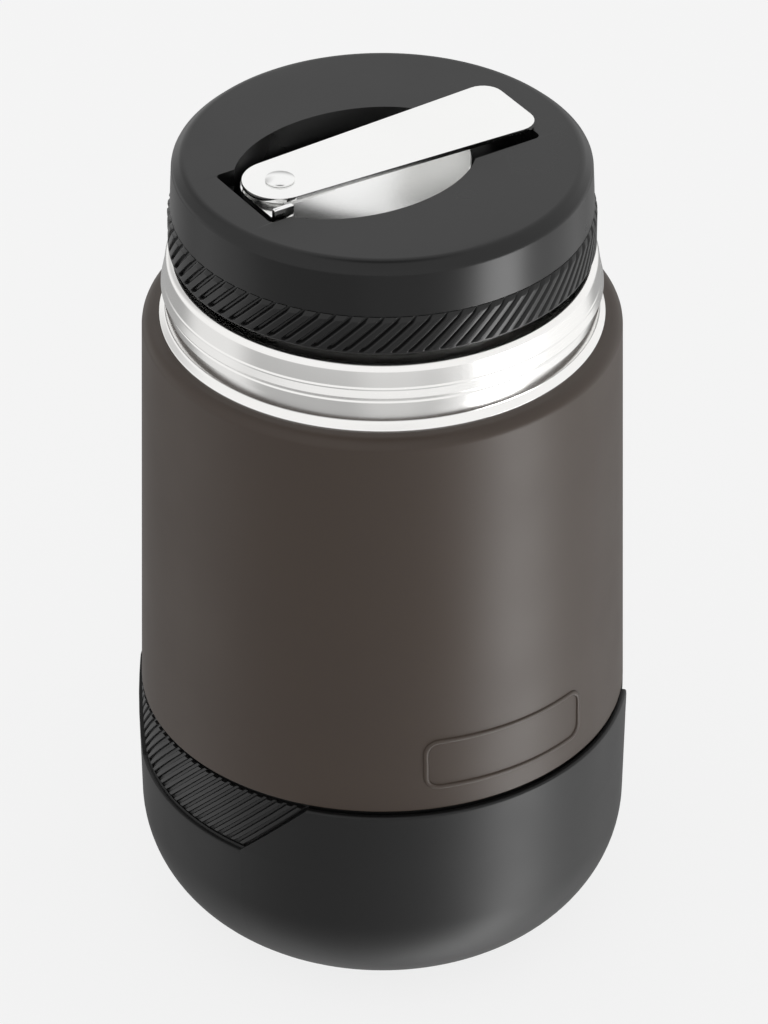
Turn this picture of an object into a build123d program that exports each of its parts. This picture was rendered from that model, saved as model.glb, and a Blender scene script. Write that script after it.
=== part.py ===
from build123d import *
from math import asin, atan, cos, degrees, pi, radians, sin, sqrt, tan
import os

# Insulated food jar with a screw lid and a folding spoon stored in the lid.
# Millimetres. The jar stands on z = 0, its axis is Z and its front is -Y.
# Angles round the jar are counted from the front, positive towards +X.

# Clearances
SEAT_GAP = 0.3          # between pieces that move past each other
GLUE_GAP = 0.05         # between pieces of one body that are pressed or glued
PIVOT_GAP = 0.06        # rivet shank in its hole, per side
THREAD_GAP = 0.4        # lid and plug against neck, per side

# Boot: the black cup round the foot of the jar
BOOT_HEIGHT = 48.6
LIP_PROUD = 0.9         # lip beyond the painted wall
BOOT_TAPER = 0.44       # side narrower at the arc than at the lip
BOOT_ARC = 23.1         # large round between side and underside
BOOT_ARC_HEIGHT = 22.66
BOOT_WALL = 1.96
BOOT_FLOOR = 2.4
LIP_WIDTH = 1.2
LIP_ROUND = 0.55
GROOVE_DEPTH = 1.2
COLLAR_WIDTH = 0.6

# Ribbed grips let into the boot
GRIP_FOOT = 34.8        # height of the lower edge
GRIP_START = -18.2      # upper front corner of the left grip, degrees
GRIP_SPAN = 78.6        # width along the upper edge, degrees
GRIP_PITCH = 2.6        # degrees from rib to rib
GRIP_SLANT = 45.0       # ribs against the horizontal, degrees
GRIP_RIB = 0.6          # rib height
GRIP_BASE = 0.45        # sheet under the ribs
GRIP_MARGIN = 0.35      # groove round the grip

# Painted shell and its welded base
SHELL_WALL = 0.6
SHELL_EDGE_RADIUS = 47.0
SHELL_TOP_RADIUS = 45.2
SHELL_EDGE_GAP = 0.8    # painted edge above the boot
SHOULDER_HEIGHT = 132.2
SHOULDER_ROUND = 2.2
DIMPLE_RADIUS = 8.0
DIMPLE_DEPTH = 2.25
SEAL_RADIUS = 2.5
SEAL_THICKNESS = 1.2

# Plain raised frame low on the painted wall
BADGE_ANGLE = 31.5
BADGE_LIFT = 4.6        # above the lower edge of the paint
BADGE_WIDTH = 35.0
BADGE_HEIGHT = 11.3
BADGE_LINE = 0.9
BADGE_CORNER = 3.0
BADGE_RELIEF = 0.35

# Bare steel neck
NECK_WALL = 0.8
BAND_HEIGHT = 14.7
BAND_TOP_RADIUS = 40.35
BAND_RADIUS = 40.9
BEAD_RADIUS = 41.5
BEAD_HEIGHT = 8.1       # centre of the bead above the shoulder
BEAD_WIDTH = 1.7
FOOT_RADIUS = 41.9
FOOT_HEIGHT = 2.6
LEDGE_ROUND = 0.9
NECK_RADIUS = 35.5
NECK_HEIGHT = 10.7      # threaded part above the ledge

# Four-start thread
THREAD_STARTS = 4
THREAD_LEAD = 12.0
THREAD_DEPTH = 1.0
LID_THREAD_DEPTH = 1.0
THREAD_ROOT = 1.1       # axial width of a ridge
THREAD_CREST = 0.7
THREAD_ARC = 70.0       # length of each ridge, degrees
THREAD_FOOT = 4.1       # neck ridges above the ledge

# Inner liner
LINER_RADIUS = 38.9
LINER_WALL = 0.6
LINER_FLOOR = 12.1
LINER_CORNER = 13.4
LINER_SHOULDER_DROP = 2.2   # liner's shoulder below the painted one
LINER_THROAT_DROP = 2.9     # liner's throat below the steel ledge
LINER_SHOULDER = SHOULDER_HEIGHT - LINER_SHOULDER_DROP
LINER_THROAT = SHOULDER_HEIGHT + BAND_HEIGHT - LINER_THROAT_DROP
LINER_NECK_GAP = 0.6
LINER_BEND = 6.0
GETTER_RADIUS = 4.0
GETTER_HEIGHT = 1.6
CLIP_RADIUS = 6.5
CLIP_WALL = 0.4

# Lid
SKIRT_GAP = 1.3         # underside of the lid above the steel ledge
GRIP_RING_HEIGHT = 6.9
GRIP_RING_RADIUS = 40.0
RING_RIBS = 84
RING_GROOVE = 0.45
RING_PLAIN_EDGE = 1.2
RING_CHAMFER = 0.6
COVER_HEIGHT = 11.3
COVER_FOOT_RADIUS = 39.5
COVER_TOP_RADIUS = 39.1
COVER_WALL = 1.2
COVER_ROUND = 2.1
DECK_THICKNESS = 2.2
SKIRT_WALL = 1.1
FLANGE_THICKNESS = 1.5
PLUG_WALL = 1.5
PLUG_FLOOR = 1.6
PLUG_DEPTH = 20.0       # plug below the underside of its flange
GASKET_THICKNESS = 1.2
GASKET_WIDTH = 2.5

# Recess for the spoon, in a frame whose first axis runs along the spoon
SPOON_ANGLE = 32.5
RECESS_LENGTH = 48.0
RECESS_WIDTH = 36.4
RECESS_CENTRE = -5.8
RECESS_DEPTH = 12.8
RECESS_ROUND = 4.0
WELL_WALL = 1.2
SLOT_WALL = 1.0
TANG_SLOT_WIDTH = 19.6
TANG_SLOT_DEPTH = 3.4
TANG_SLOT_PLAY = 1.4    # beyond the end of the stop plate
TANG_SLOT_CORNER = 1.0
FINGER_SLOT_WIDTH = 21.5
FINGER_SLOT_END = 28.8
FINGER_SLOT_DEPTH = 5.6
FINGER_SLOT_CORNER = 2.5

# Folding spoon
SHEET = 1.0             # steel sheet of bowl and stop plate
PIVOT_X = -22.2
HANDLE_LENGTH = 51.9    # pivot to tip
HANDLE_END_RADIUS = 7.3
HANDLE_TIP_WIDTH = 18.6
HANDLE_CORNER = 4.0
HANDLE_THICKNESS = 0.9
HANDLE_RAISE = 0.6      # underside above the lid's top
STOP_SINK = 0.3         # stop plate below the lid's top
STOP_START = -28.8
STOP_END = -13.0
STOP_WIDTH = 13.2
TAB_LENGTH = 4.1
TAB_WALL = 0.95
TAB_RISE = 2.1
TAB_CLEARANCE = 0.65    # tab beyond the round end of the handle
WASHER_RADIUS = 4.2
RIVET_RADIUS = 2.0
RIVET_HEAD_RADIUS = 2.75
RIVET_HEAD_HEIGHT = 0.9
RIVET_FOOT_HEIGHT = 0.7
BOWL_PLAY = 1.1         # bowl's outline inside the recess
BOWL_DEPTH = 11.6
BOWL_END_DEPTH = 0.8    # rim below the lid's top at the tip
BOWL_SIDE_DEPTH = 5.4   # rim below the lid's top at the sides
HOLLOW_PLAY = 3.2       # hollow of the bowl beyond the rivet's head
HOLLOW_FLANGE = 1.5     # rim outside the hollow at the sides
HOLLOW_LIFT = 2.0       # centre of the hollow's form above the lid's top

# Heights that follow
shell_edge = BOOT_HEIGHT + SHELL_EDGE_GAP
badge_foot = shell_edge + BADGE_LIFT
ledge = SHOULDER_HEIGHT + BAND_HEIGHT
neck_top = ledge + NECK_HEIGHT
rim = neck_top + LINER_WALL
gasket_foot = rim + SEAT_GAP
flange_foot = gasket_foot + GASKET_THICKNESS + SEAT_GAP
flange_top = flange_foot + FLANGE_THICKNESS
plug_foot = flange_foot - PLUG_DEPTH
skirt_foot = ledge + SKIRT_GAP
cover_foot = skirt_foot + GRIP_RING_HEIGHT
deck = cover_foot + COVER_HEIGHT
deck_under = deck - DECK_THICKNESS
handle_foot = deck + HANDLE_RAISE
handle_top = handle_foot + HANDLE_THICKNESS
stop_top = deck - STOP_SINK
pad_top = stop_top - SHEET
crown_top = deck - BOWL_END_DEPTH

# Radii that follow
boot_lip_radius = SHELL_EDGE_RADIUS + LIP_PROUD
boot_side_radius = boot_lip_radius - BOOT_TAPER
boot_arc_centre = boot_side_radius - BOOT_ARC
boot_inner_radius = boot_side_radius - BOOT_WALL
shell_foot_radius = boot_inner_radius - GLUE_GAP
shell_mouth = FOOT_RADIUS - NECK_WALL - 0.1
liner_neck_outer = NECK_RADIUS - NECK_WALL - LINER_NECK_GAP
liner_neck_inner = liner_neck_outer - LINER_WALL
plug_radius = liner_neck_inner - THREAD_GAP
skirt_inner = NECK_RADIUS + THREAD_DEPTH + THREAD_GAP
skirt_outer = skirt_inner + SKIRT_WALL
grip_radius = SHELL_EDGE_RADIUS
pocket_floor = grip_radius - GRIP_RIB - GRIP_BASE
bowl_half_length = RECESS_LENGTH / 2 - BOWL_PLAY
bowl_half_width = RECESS_WIDTH / 2 - BOWL_PLAY
bowl_sag = BOWL_SIDE_DEPTH - BOWL_END_DEPTH
crown_radius = (bowl_half_width ** 2 + bowl_sag ** 2) / (2 * bowl_sag)
crown_axis = crown_top - crown_radius
rivet_foot_top = crown_axis + sqrt((crown_radius - SHEET) ** 2 - RIVET_HEAD_RADIUS ** 2) - GLUE_GAP


def outline(*corners):
    """Closed outline in the XZ plane from (radius, height) or (radius, height, round) corners."""
    points = [(corner[0], corner[1]) for corner in corners]
    rounds = [corner[2] if len(corner) > 2 else 0 for corner in corners]
    return FilletPolyline(*points, radius=rounds, close=True)


def turned(*corners):
    """Solid of revolution about Z from the corners of its section."""
    return revolve(Plane.XZ * make_face(outline(*corners)), Axis.Z)


def arc_point(centre_x, centre_z, radius, angle):
    """Point of an arc in the section plane, angle from +X in degrees."""
    return (centre_x + radius * cos(radians(angle)), centre_z + radius * sin(radians(angle)))


def bottom_arc(radius, floor):
    """Arc of the given radius round the boot's arc centre, from the floor height to the side."""
    start = degrees(asin((floor - BOOT_ARC_HEIGHT) / radius))
    points = [arc_point(boot_arc_centre, BOOT_ARC_HEIGHT, radius, start * share) for share in (1, 0.5, 0)]
    return ThreePointArc(*points), points[0], points[2]


def at_angle(angle):
    """Rotation that carries the front of the jar to an angle round it."""
    return Rot(0, 0, angle)


# ---- foot of the jar ----

def grip_turn(height):
    """Angle by which the slanted ribs have turned at a height, from the boot's upper edge."""
    run = (height - BOOT_HEIGHT) / tan(radians(GRIP_SLANT))
    return degrees(run / grip_radius)


def grip_ring_point(radius, angle, height):
    """Point on the jar's wall, angle from the front."""
    return (radius * sin(radians(angle)), -radius * cos(radians(angle)), height)


def grip_section(height):
    """Section of the grip's ribbed sheet at a height."""
    start = GRIP_START + grip_turn(height)
    count = round(GRIP_SPAN / GRIP_PITCH)
    root_radius = grip_radius - GRIP_RIB
    front = []
    for index in range(count + 1):
        angle = start - index * GRIP_PITCH
        front.append(grip_ring_point(grip_radius, angle - 0.16 * GRIP_PITCH, height))
        front.append(grip_ring_point(grip_radius, angle - 0.56 * GRIP_PITCH, height))
        front.append(grip_ring_point(root_radius, angle - 0.72 * GRIP_PITCH, height))
        front.append(grip_ring_point(root_radius, angle - GRIP_PITCH, height))
    sweep_back = (count + 1) * GRIP_PITCH
    steps = 2 * count
    inner = pocket_floor + GLUE_GAP
    back = []
    for step in range(steps + 1):
        angle = start - sweep_back * (1 - step / steps)
        back.append(grip_ring_point(inner, angle, height))
    return make_face(Polyline(*front, *back, close=True))


def end_cut(side, shift):
    """Block beyond a slanted end of the grip, side 1 at the near end and -1 at the far one."""
    size = 4 * grip_radius
    middle = (BOOT_HEIGHT + GRIP_FOOT) / 2
    near_angle = GRIP_START + grip_turn(middle)
    far_angle = GRIP_START - GRIP_SPAN - grip_turn(middle)
    block = Pos(side * (size / 2 + shift), 0, 0) * Box(size, size, size)
    block = Rot(0, side * (90 - GRIP_SLANT), 0) * block
    return Rot(0, 0, near_angle if side > 0 else far_angle) * Pos(0, -grip_radius, middle) * block


def grip_pocket():
    """Slanted window through the boot's lip and side down to the grip's bed."""
    foot = GRIP_FOOT - GRIP_MARGIN
    top = shell_edge + 1
    outer = boot_lip_radius + 2
    ring = turned((pocket_floor, foot), (outer, foot), (outer, top), (pocket_floor, top))
    sector_middle = GRIP_START - GRIP_SPAN / 2
    reach = 2 * grip_radius
    half = radians(GRIP_SPAN / 2 + 12)
    corner = (reach * sin(half), -reach * cos(half))
    wedge = Polyline((0, 0), corner, (0, -reach), (-corner[0], corner[1]), close=True)
    sector = Rot(0, 0, sector_middle) * extrude(make_face(wedge), 2 * top)
    return (ring & sector) - end_cut(1, GRIP_MARGIN) - end_cut(-1, GRIP_MARGIN)


def base_boot():
    """Black boot: a cup with a grooved lip and a pocket for each grip."""
    outer_arc, outer_start, outer_end = bottom_arc(BOOT_ARC, 0)
    inner_arc, inner_start, inner_end = bottom_arc(BOOT_ARC - BOOT_WALL, BOOT_FLOOR)
    lip_inner = boot_lip_radius - LIP_WIDTH
    collar_outer = boot_inner_radius + COLLAR_WIDTH
    groove = BOOT_HEIGHT - GROOVE_DEPTH
    collar_top = shell_edge - GLUE_GAP
    side = FilletPolyline(
        outer_end,
        (boot_lip_radius, BOOT_HEIGHT),
        (lip_inner, BOOT_HEIGHT),
        (lip_inner, groove),
        (collar_outer, groove),
        (collar_outer, collar_top),
        (boot_inner_radius, collar_top),
        inner_end,
        radius=[LIP_ROUND, LIP_ROUND / 2, 0, 0, 0, 0],
    )
    floor = Polyline(inner_start, (0, BOOT_FLOOR), (0, 0), outer_start)
    cup = revolve(Plane.XZ * make_face([outer_arc, side, inner_arc, floor]), Axis.Z)
    pocket = grip_pocket()
    for turn in (0, 180):
        cup -= Rot(0, 0, turn) * pocket
    return cup


def boot_grip(turn):
    """Ribbed rubber grip in its pocket, flush with the painted wall above it."""
    top = shell_edge - GLUE_GAP
    levels = 5
    heights = [GRIP_FOOT + (top - GRIP_FOOT) * level / (levels - 1) for level in range(levels)]
    grip = loft([grip_section(height) for height in heights], ruled=True)
    return Rot(0, 0, turn) * (grip - end_cut(-1, 0))


# ---- steel body ----

def outer_shell():
    """Painted outer wall, stepped in below its lower edge to go into the boot."""
    inner_foot = shell_foot_radius - SHELL_WALL
    slope = (SHELL_EDGE_RADIUS - SHELL_TOP_RADIUS) / (SHOULDER_HEIGHT - shell_edge)
    return turned(
        (shell_foot_radius, BOOT_ARC_HEIGHT),
        (shell_foot_radius, shell_edge),
        (SHELL_EDGE_RADIUS, shell_edge),
        (SHELL_TOP_RADIUS, SHOULDER_HEIGHT, SHOULDER_ROUND),
        (shell_mouth, SHOULDER_HEIGHT),
        (shell_mouth, SHOULDER_HEIGHT - SHELL_WALL),
        (SHELL_TOP_RADIUS - SHELL_WALL, SHOULDER_HEIGHT - SHELL_WALL, SHOULDER_ROUND - SHELL_WALL),
        (SHELL_EDGE_RADIUS - SHELL_WALL - slope * SHELL_WALL, shell_edge + SHELL_WALL),
        (inner_foot, shell_edge + SHELL_WALL),
        (inner_foot, BOOT_ARC_HEIGHT),
    )


def shell_base():
    """Steel cap welded under the shell, with a dimple for the vacuum seal."""
    radius = shell_foot_radius - boot_arc_centre
    floor = BOOT_FLOOR + GLUE_GAP
    outer_arc, outer_start, outer_end = bottom_arc(radius, floor)
    inner_arc, inner_start, inner_end = bottom_arc(radius - SHELL_WALL, floor + SHELL_WALL)
    roof = floor + DIMPLE_DEPTH
    slope = DIMPLE_DEPTH
    under = Polyline(outer_start, (DIMPLE_RADIUS, floor), (DIMPLE_RADIUS - slope, roof), (0, roof))
    upper = Polyline(
        (0, roof),
        (0, roof + SHELL_WALL),
        (DIMPLE_RADIUS - slope, roof + SHELL_WALL),
        (DIMPLE_RADIUS + SHELL_WALL, floor + SHELL_WALL),
        inner_start,
    )
    edge = Line(inner_end, outer_end)
    return revolve(Plane.XZ * make_face([outer_arc, under, upper, inner_arc, edge]), Axis.Z)


def vacuum_seal():
    """Solder seal in the dimple of the base cap."""
    roof = BOOT_FLOOR + GLUE_GAP + DIMPLE_DEPTH
    return Pos(0, 0, roof - SEAL_THICKNESS / 2) * Cylinder(SEAL_RADIUS, SEAL_THICKNESS)


def wall_radius(height):
    """Radius of the painted wall at a height."""
    share = (height - shell_edge) / (SHOULDER_HEIGHT - shell_edge)
    return SHELL_EDGE_RADIUS + (SHELL_TOP_RADIUS - SHELL_EDGE_RADIUS) * share


def blank_badge():
    """Plain rounded frame that stands a little proud of the painted wall."""
    low = badge_foot - 1
    high = badge_foot + BADGE_HEIGHT + 1
    sleeve = turned(
        (wall_radius(low), low),
        (wall_radius(low) + BADGE_RELIEF, low),
        (wall_radius(high) + BADGE_RELIEF, high),
        (wall_radius(high), high),
    )
    frame = RectangleRounded(BADGE_WIDTH, BADGE_HEIGHT, BADGE_CORNER)
    inset = 2 * BADGE_LINE
    frame -= RectangleRounded(BADGE_WIDTH - inset, BADGE_HEIGHT - inset, BADGE_CORNER - BADGE_LINE)
    centre = (0, 0, badge_foot + BADGE_HEIGHT / 2)
    prism = extrude(Plane(centre, x_dir=(1, 0, 0), z_dir=(0, -1, 0)) * frame, 2 * SHELL_EDGE_RADIUS)
    return at_angle(BADGE_ANGLE) * (sleeve & prism)


def thread_ridges(radius, depth, height, direction):
    """Ridges of the thread on a cylinder, direction 1 outward from a neck and -1 inward from a lid."""
    rise = THREAD_LEAD * THREAD_ARC / 360
    path = Helix(THREAD_LEAD, rise, radius)
    root, crest = THREAD_ROOT / 2, THREAD_CREST / 2
    sunk = -0.15 * direction
    tip = depth * direction
    section = Polyline((sunk, -root), (tip, -crest), (tip, crest), (sunk, root), close=True)
    plane = Plane(origin=path @ 0, x_dir=(1, 0, 0), z_dir=path % 0)
    ridge = sweep(plane * make_face(section), path=path, is_frenet=True)
    step = 360 / THREAD_STARTS
    return [Rot(0, 0, step * index) * Pos(0, 0, height) * ridge for index in range(THREAD_STARTS)]


def neck_collar():
    """Bare steel neck: foot on the shoulder, beaded band, ledge and threaded mouth."""
    bead = SHOULDER_HEIGHT + BEAD_HEIGHT
    foot = SHOULDER_HEIGHT + FOOT_HEIGHT
    inner_band = BAND_RADIUS - NECK_WALL
    collar = turned(
        (NECK_RADIUS, neck_top),
        (NECK_RADIUS, ledge),
        (BAND_TOP_RADIUS, ledge, LEDGE_ROUND),
        (BAND_RADIUS, bead + BEAD_WIDTH / 2),
        (BEAD_RADIUS, bead + BEAD_WIDTH / 4, 0.25),
        (BEAD_RADIUS, bead - BEAD_WIDTH / 4, 0.25),
        (BAND_RADIUS, bead - BEAD_WIDTH / 2, 0.2),
        (BAND_RADIUS, foot, 1.5),
        (FOOT_RADIUS, SHOULDER_HEIGHT + NECK_WALL, 0.3),
        (FOOT_RADIUS, SHOULDER_HEIGHT),
        (inner_band, SHOULDER_HEIGHT),
        (inner_band, bead),
        (BAND_TOP_RADIUS - NECK_WALL, ledge - NECK_WALL),
        (NECK_RADIUS - NECK_WALL, ledge - NECK_WALL),
        (NECK_RADIUS - NECK_WALL, neck_top),
    )
    for ridge in thread_ridges(NECK_RADIUS, THREAD_DEPTH, ledge + THREAD_FOOT, 1):
        collar += ridge
    return collar


def inner_liner():
    """Steel food vessel with a rolled lip over the neck."""
    floor = LINER_FLOOR - LINER_WALL
    outer_radius = LINER_RADIUS + LINER_WALL
    outside = turned(
        (0, floor),
        (outer_radius, floor, LINER_CORNER + LINER_WALL),
        (outer_radius, LINER_SHOULDER, LINER_BEND),
        (liner_neck_outer, LINER_THROAT, LINER_BEND),
        (liner_neck_outer, neck_top),
        (NECK_RADIUS, neck_top),
        (NECK_RADIUS, rim),
        (0, rim),
    )
    inside = turned(
        (0, LINER_FLOOR),
        (LINER_RADIUS, LINER_FLOOR, LINER_CORNER),
        (LINER_RADIUS, LINER_SHOULDER, LINER_BEND),
        (liner_neck_inner, LINER_THROAT, LINER_BEND),
        (liner_neck_inner, rim + 1),
        (0, rim + 1),
    )
    return outside - inside


def getter_pellet():
    """Getter that keeps the vacuum, under the liner."""
    top = LINER_FLOOR - LINER_WALL
    return Pos(0, 0, top - GETTER_HEIGHT / 2) * Cylinder(GETTER_RADIUS, GETTER_HEIGHT)


def getter_clip():
    """Flanged steel ring that holds the getter against the liner."""
    top = LINER_FLOOR - LINER_WALL
    hole = GETTER_RADIUS + GLUE_GAP
    return turned(
        (hole, top),
        (CLIP_RADIUS, top),
        (CLIP_RADIUS, top - CLIP_WALL),
        (hole + CLIP_WALL, top - CLIP_WALL),
        (hole + CLIP_WALL, top - GETTER_HEIGHT),
        (hole, top - GETTER_HEIGHT),
    )


# ---- lid ----

def ring_section(height, turn):
    """Section of the ribbed band at a height, its ribs turned about Z."""
    points = []
    pitch = 360 / RING_RIBS
    for index in range(RING_RIBS):
        start = index * pitch + turn
        for share, radius in ring_rib_shape:
            angle = start + share * pitch
            points.append(grip_ring_point(radius, angle, height))
    return make_face(Polyline(*points, close=True))


ring_rib_shape = (
    (0.0, GRIP_RING_RADIUS - RING_GROOVE),
    (0.14, GRIP_RING_RADIUS - RING_GROOVE),
    (0.30, GRIP_RING_RADIUS),
    (0.90, GRIP_RING_RADIUS),
)


def lid_grip_ring():
    """Band of slanted ribs round the foot of the lid, with a plain lower edge."""
    ribs_foot = skirt_foot + RING_PLAIN_EDGE
    top = cover_foot - GLUE_GAP
    levels = 3
    sections = []
    for level in range(levels):
        height = ribs_foot + (top - ribs_foot) * level / (levels - 1)
        turn = degrees((height - ribs_foot) / GRIP_RING_RADIUS)
        sections.append(ring_section(height, turn))
    band = loft(sections, ruled=True)
    envelope = turned(
        (0, skirt_foot),
        (GRIP_RING_RADIUS - RING_CHAMFER / 2, skirt_foot),
        (GRIP_RING_RADIUS, skirt_foot + RING_CHAMFER / 2),
        (GRIP_RING_RADIUS, top - RING_CHAMFER),
        (GRIP_RING_RADIUS - RING_CHAMFER, top),
        (0, top),
    )
    below = Cylinder(2 * GRIP_RING_RADIUS, 2 * GRIP_RING_HEIGHT)
    edge = envelope & Pos(0, 0, ribs_foot - GRIP_RING_HEIGHT) * below
    ring = (band & envelope) + edge
    bore = skirt_outer + GLUE_GAP
    return ring - Pos(0, 0, cover_foot) * Cylinder(bore, 4 * GRIP_RING_HEIGHT)


def rounded_slot(start, end, width, corner, low, high):
    """Upright block along the spoon's axis with rounded corners."""
    length = end - start
    sketch = Pos((start + end) / 2, 0) * RectangleRounded(length, width, corner)
    return Pos(0, 0, low) * extrude(sketch, high - low)


def recess_space(wall, top):
    """Room for the spoon, grown by a wall: oval well, slot for the tang and slot for a finger."""
    well_floor = deck - RECESS_DEPTH - wall
    oval = Pos(RECESS_CENTRE, 0) * Ellipse(RECESS_LENGTH / 2 + wall, RECESS_WIDTH / 2 + wall)
    well = Pos(0, 0, well_floor) * extrude(oval, top - well_floor)
    well = fillet(well.edges().sort_by(Axis.Z)[0], RECESS_ROUND + wall)
    slot_wall = SLOT_WALL if wall else 0
    tang = rounded_slot(
        STOP_START - TANG_SLOT_PLAY - slot_wall, RECESS_CENTRE,
        TANG_SLOT_WIDTH + 2 * slot_wall, TANG_SLOT_CORNER + slot_wall,
        deck - TANG_SLOT_DEPTH - slot_wall, top,
    )
    finger = rounded_slot(
        RECESS_CENTRE, FINGER_SLOT_END + slot_wall,
        FINGER_SLOT_WIDTH + 2 * slot_wall, FINGER_SLOT_CORNER + slot_wall,
        deck - FINGER_SLOT_DEPTH - slot_wall, top,
    )
    return at_angle(SPOON_ANGLE) * (well + tang + finger)


def lid_cover():
    """Top moulding of the lid with the spoon's recess hanging from its deck."""
    inner = skirt_outer + GLUE_GAP
    shell = turned(
        (inner, cover_foot),
        (COVER_FOOT_RADIUS, cover_foot),
        (COVER_TOP_RADIUS, deck, COVER_ROUND),
        (0, deck),
        (0, deck_under),
        (inner, deck_under),
    )
    return shell + recess_space(WELL_WALL, deck) - recess_space(0, deck + DECK_THICKNESS)


def lid_body():
    """Inner moulding: threaded skirt, flange over the gasket and plug in the mouth."""
    plug_inner = plug_radius - PLUG_WALL
    body = turned(
        (skirt_inner, skirt_foot + SEAT_GAP),
        (skirt_outer, skirt_foot + SEAT_GAP),
        (skirt_outer, deck_under - GLUE_GAP),
        (skirt_inner, deck_under - GLUE_GAP),
        (skirt_inner, flange_top),
        (plug_inner, flange_top),
        (plug_inner, plug_foot + PLUG_FLOOR),
        (0, plug_foot + PLUG_FLOOR),
        (0, plug_foot),
        (plug_radius, plug_foot, 1.0),
        (plug_radius, flange_foot),
        (skirt_inner, flange_foot),
    )
    pitch = THREAD_LEAD / THREAD_STARTS
    for ridge in thread_ridges(skirt_inner, LID_THREAD_DEPTH, ledge + THREAD_FOOT - pitch / 2, -1):
        body += ridge
    return body


def lid_foam():
    """Insulating disc in the plug, below the spoon's recess."""
    foot = plug_foot + PLUG_FLOOR
    top = deck - RECESS_DEPTH - WELL_WALL - GLUE_GAP
    return Pos(0, 0, (foot + top) / 2) * Cylinder(plug_radius - PLUG_WALL - GLUE_GAP, top - foot)


def lid_gasket():
    """Silicone sealing ring between the lid's flange and the rim."""
    inner = plug_radius + SEAT_GAP
    return turned(
        (inner, gasket_foot, 0.3),
        (inner + GASKET_WIDTH, gasket_foot, 0.3),
        (inner + GASKET_WIDTH, gasket_foot + GASKET_THICKNESS, 0.3),
        (inner, gasket_foot + GASKET_THICKNESS, 0.3),
    )


# ---- spoon ----

def crown(radius):
    """Long cylinder along the spoon whose top gives the rim its drop at the sides."""
    return Pos(RECESS_CENTRE, 0, crown_axis) * Rot(0, 90, 0) * Cylinder(radius, 4 * bowl_half_length)


def hollow_form(inset):
    """Ellipsoid of the bowl's outside, or of its inside one sheet further in."""
    start = PIVOT_X + HOLLOW_PLAY
    end = RECESS_CENTRE + bowl_half_length
    half_width = bowl_half_width - HOLLOW_FLANGE
    side_drop = crown_radius - sqrt(crown_radius ** 2 - half_width ** 2)
    depth = BOWL_DEPTH + HOLLOW_LIFT
    end_share = (HOLLOW_LIFT + BOWL_END_DEPTH) / depth
    side_share = (HOLLOW_LIFT + BOWL_END_DEPTH + side_drop) / depth
    full_length = (end - start) / 2 / sqrt(1 - end_share ** 2)
    full_width = half_width / sqrt(1 - side_share ** 2)
    form = scale(Sphere(1), by=(full_length - inset, full_width - inset, depth - inset))
    return Pos((start + end) / 2, 0, deck + HOLLOW_LIFT) * form


def spoon_bowl():
    """Deep oval bowl pressed in a crowned sheet, with a flat seat for the stop plate."""
    plan = Pos(RECESS_CENTRE, 0) * Ellipse(bowl_half_length, bowl_half_width)
    prism = Pos(0, 0, deck - BOWL_DEPTH) * extrude(plan, 2 * BOWL_DEPTH)
    inside = hollow_form(SHEET)
    sheet = (crown(crown_radius) - crown(crown_radius - SHEET)) & prism
    hollow = hollow_form(0) & crown(crown_radius)
    bowl = sheet + hollow - inside
    seat_length = STOP_END - STOP_START + 2
    above_seat = Box(seat_length, 2 * RECESS_WIDTH, BOWL_DEPTH)
    bowl -= Pos((STOP_START + STOP_END) / 2, 0, pad_top + BOWL_DEPTH / 2) * above_seat
    bowl -= Pos(PIVOT_X, 0, deck) * Cylinder(RIVET_RADIUS + GLUE_GAP, 8 * SHEET)
    return at_angle(SPOON_ANGLE) * bowl


def stop_plate():
    """Strip on the bowl's pad with an upturned tab that stops the open handle."""
    foot = stop_top - SHEET
    strip = rounded_slot(STOP_START, STOP_END, STOP_WIDTH, 0.8, foot, stop_top)
    tab_inner = HANDLE_END_RADIUS + TAB_CLEARANCE
    tab_outer = tab_inner + TAB_WALL
    tab_middle = STOP_START + TAB_LENGTH / 2
    wing_width = tab_outer - STOP_WIDTH / 2 + 1
    wing = Box(TAB_LENGTH, wing_width, SHEET)
    wing = Pos(tab_middle, wing_width / 2 - tab_outer, foot + SHEET / 2) * wing
    rise = SHEET + TAB_RISE
    tab = Box(TAB_LENGTH, TAB_WALL, rise)
    tab = fillet(tab.edges().filter_by(Axis.Y).sort_by(Axis.Z)[-2:], 0.6)
    tab = Pos(tab_middle, -tab_outer + TAB_WALL / 2, foot + rise / 2) * tab
    plate = strip + wing + tab
    plate -= Pos(PIVOT_X, 0, foot) * Cylinder(RIVET_RADIUS + GLUE_GAP, 4 * SHEET)
    return at_angle(SPOON_ANGLE) * plate


def spoon_handle():
    """Flat handle, round at the pivot and wider at its rounded tip."""
    tip = PIVOT_X + HANDLE_LENGTH
    half = HANDLE_TIP_WIDTH / 2
    slope = asin((half - HANDLE_END_RADIUS) / HANDLE_LENGTH)
    touch = (PIVOT_X - HANDLE_END_RADIUS * sin(slope), HANDLE_END_RADIUS * cos(slope))
    blade = FilletPolyline(
        (touch[0], -touch[1]), (tip, -half), (tip, half), touch,
        radius=[HANDLE_CORNER, HANDLE_CORNER],
    )
    end = ThreePointArc(touch, (PIVOT_X - HANDLE_END_RADIUS, 0), (touch[0], -touch[1]))
    sketch = make_face([blade, end])
    sketch -= Pos(PIVOT_X, 0) * Circle(RIVET_RADIUS + PIVOT_GAP)
    handle = extrude(Pos(0, 0, handle_foot) * sketch, HANDLE_THICKNESS)
    return at_angle(SPOON_ANGLE) * handle


def pivot_washer():
    """Washer that holds the handle off the stop plate."""
    thickness = handle_foot - GLUE_GAP - stop_top
    ring = Cylinder(WASHER_RADIUS, thickness) - Cylinder(RIVET_RADIUS + GLUE_GAP, thickness)
    return at_angle(SPOON_ANGLE) * Pos(PIVOT_X, 0, stop_top + thickness / 2) * ring


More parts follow.
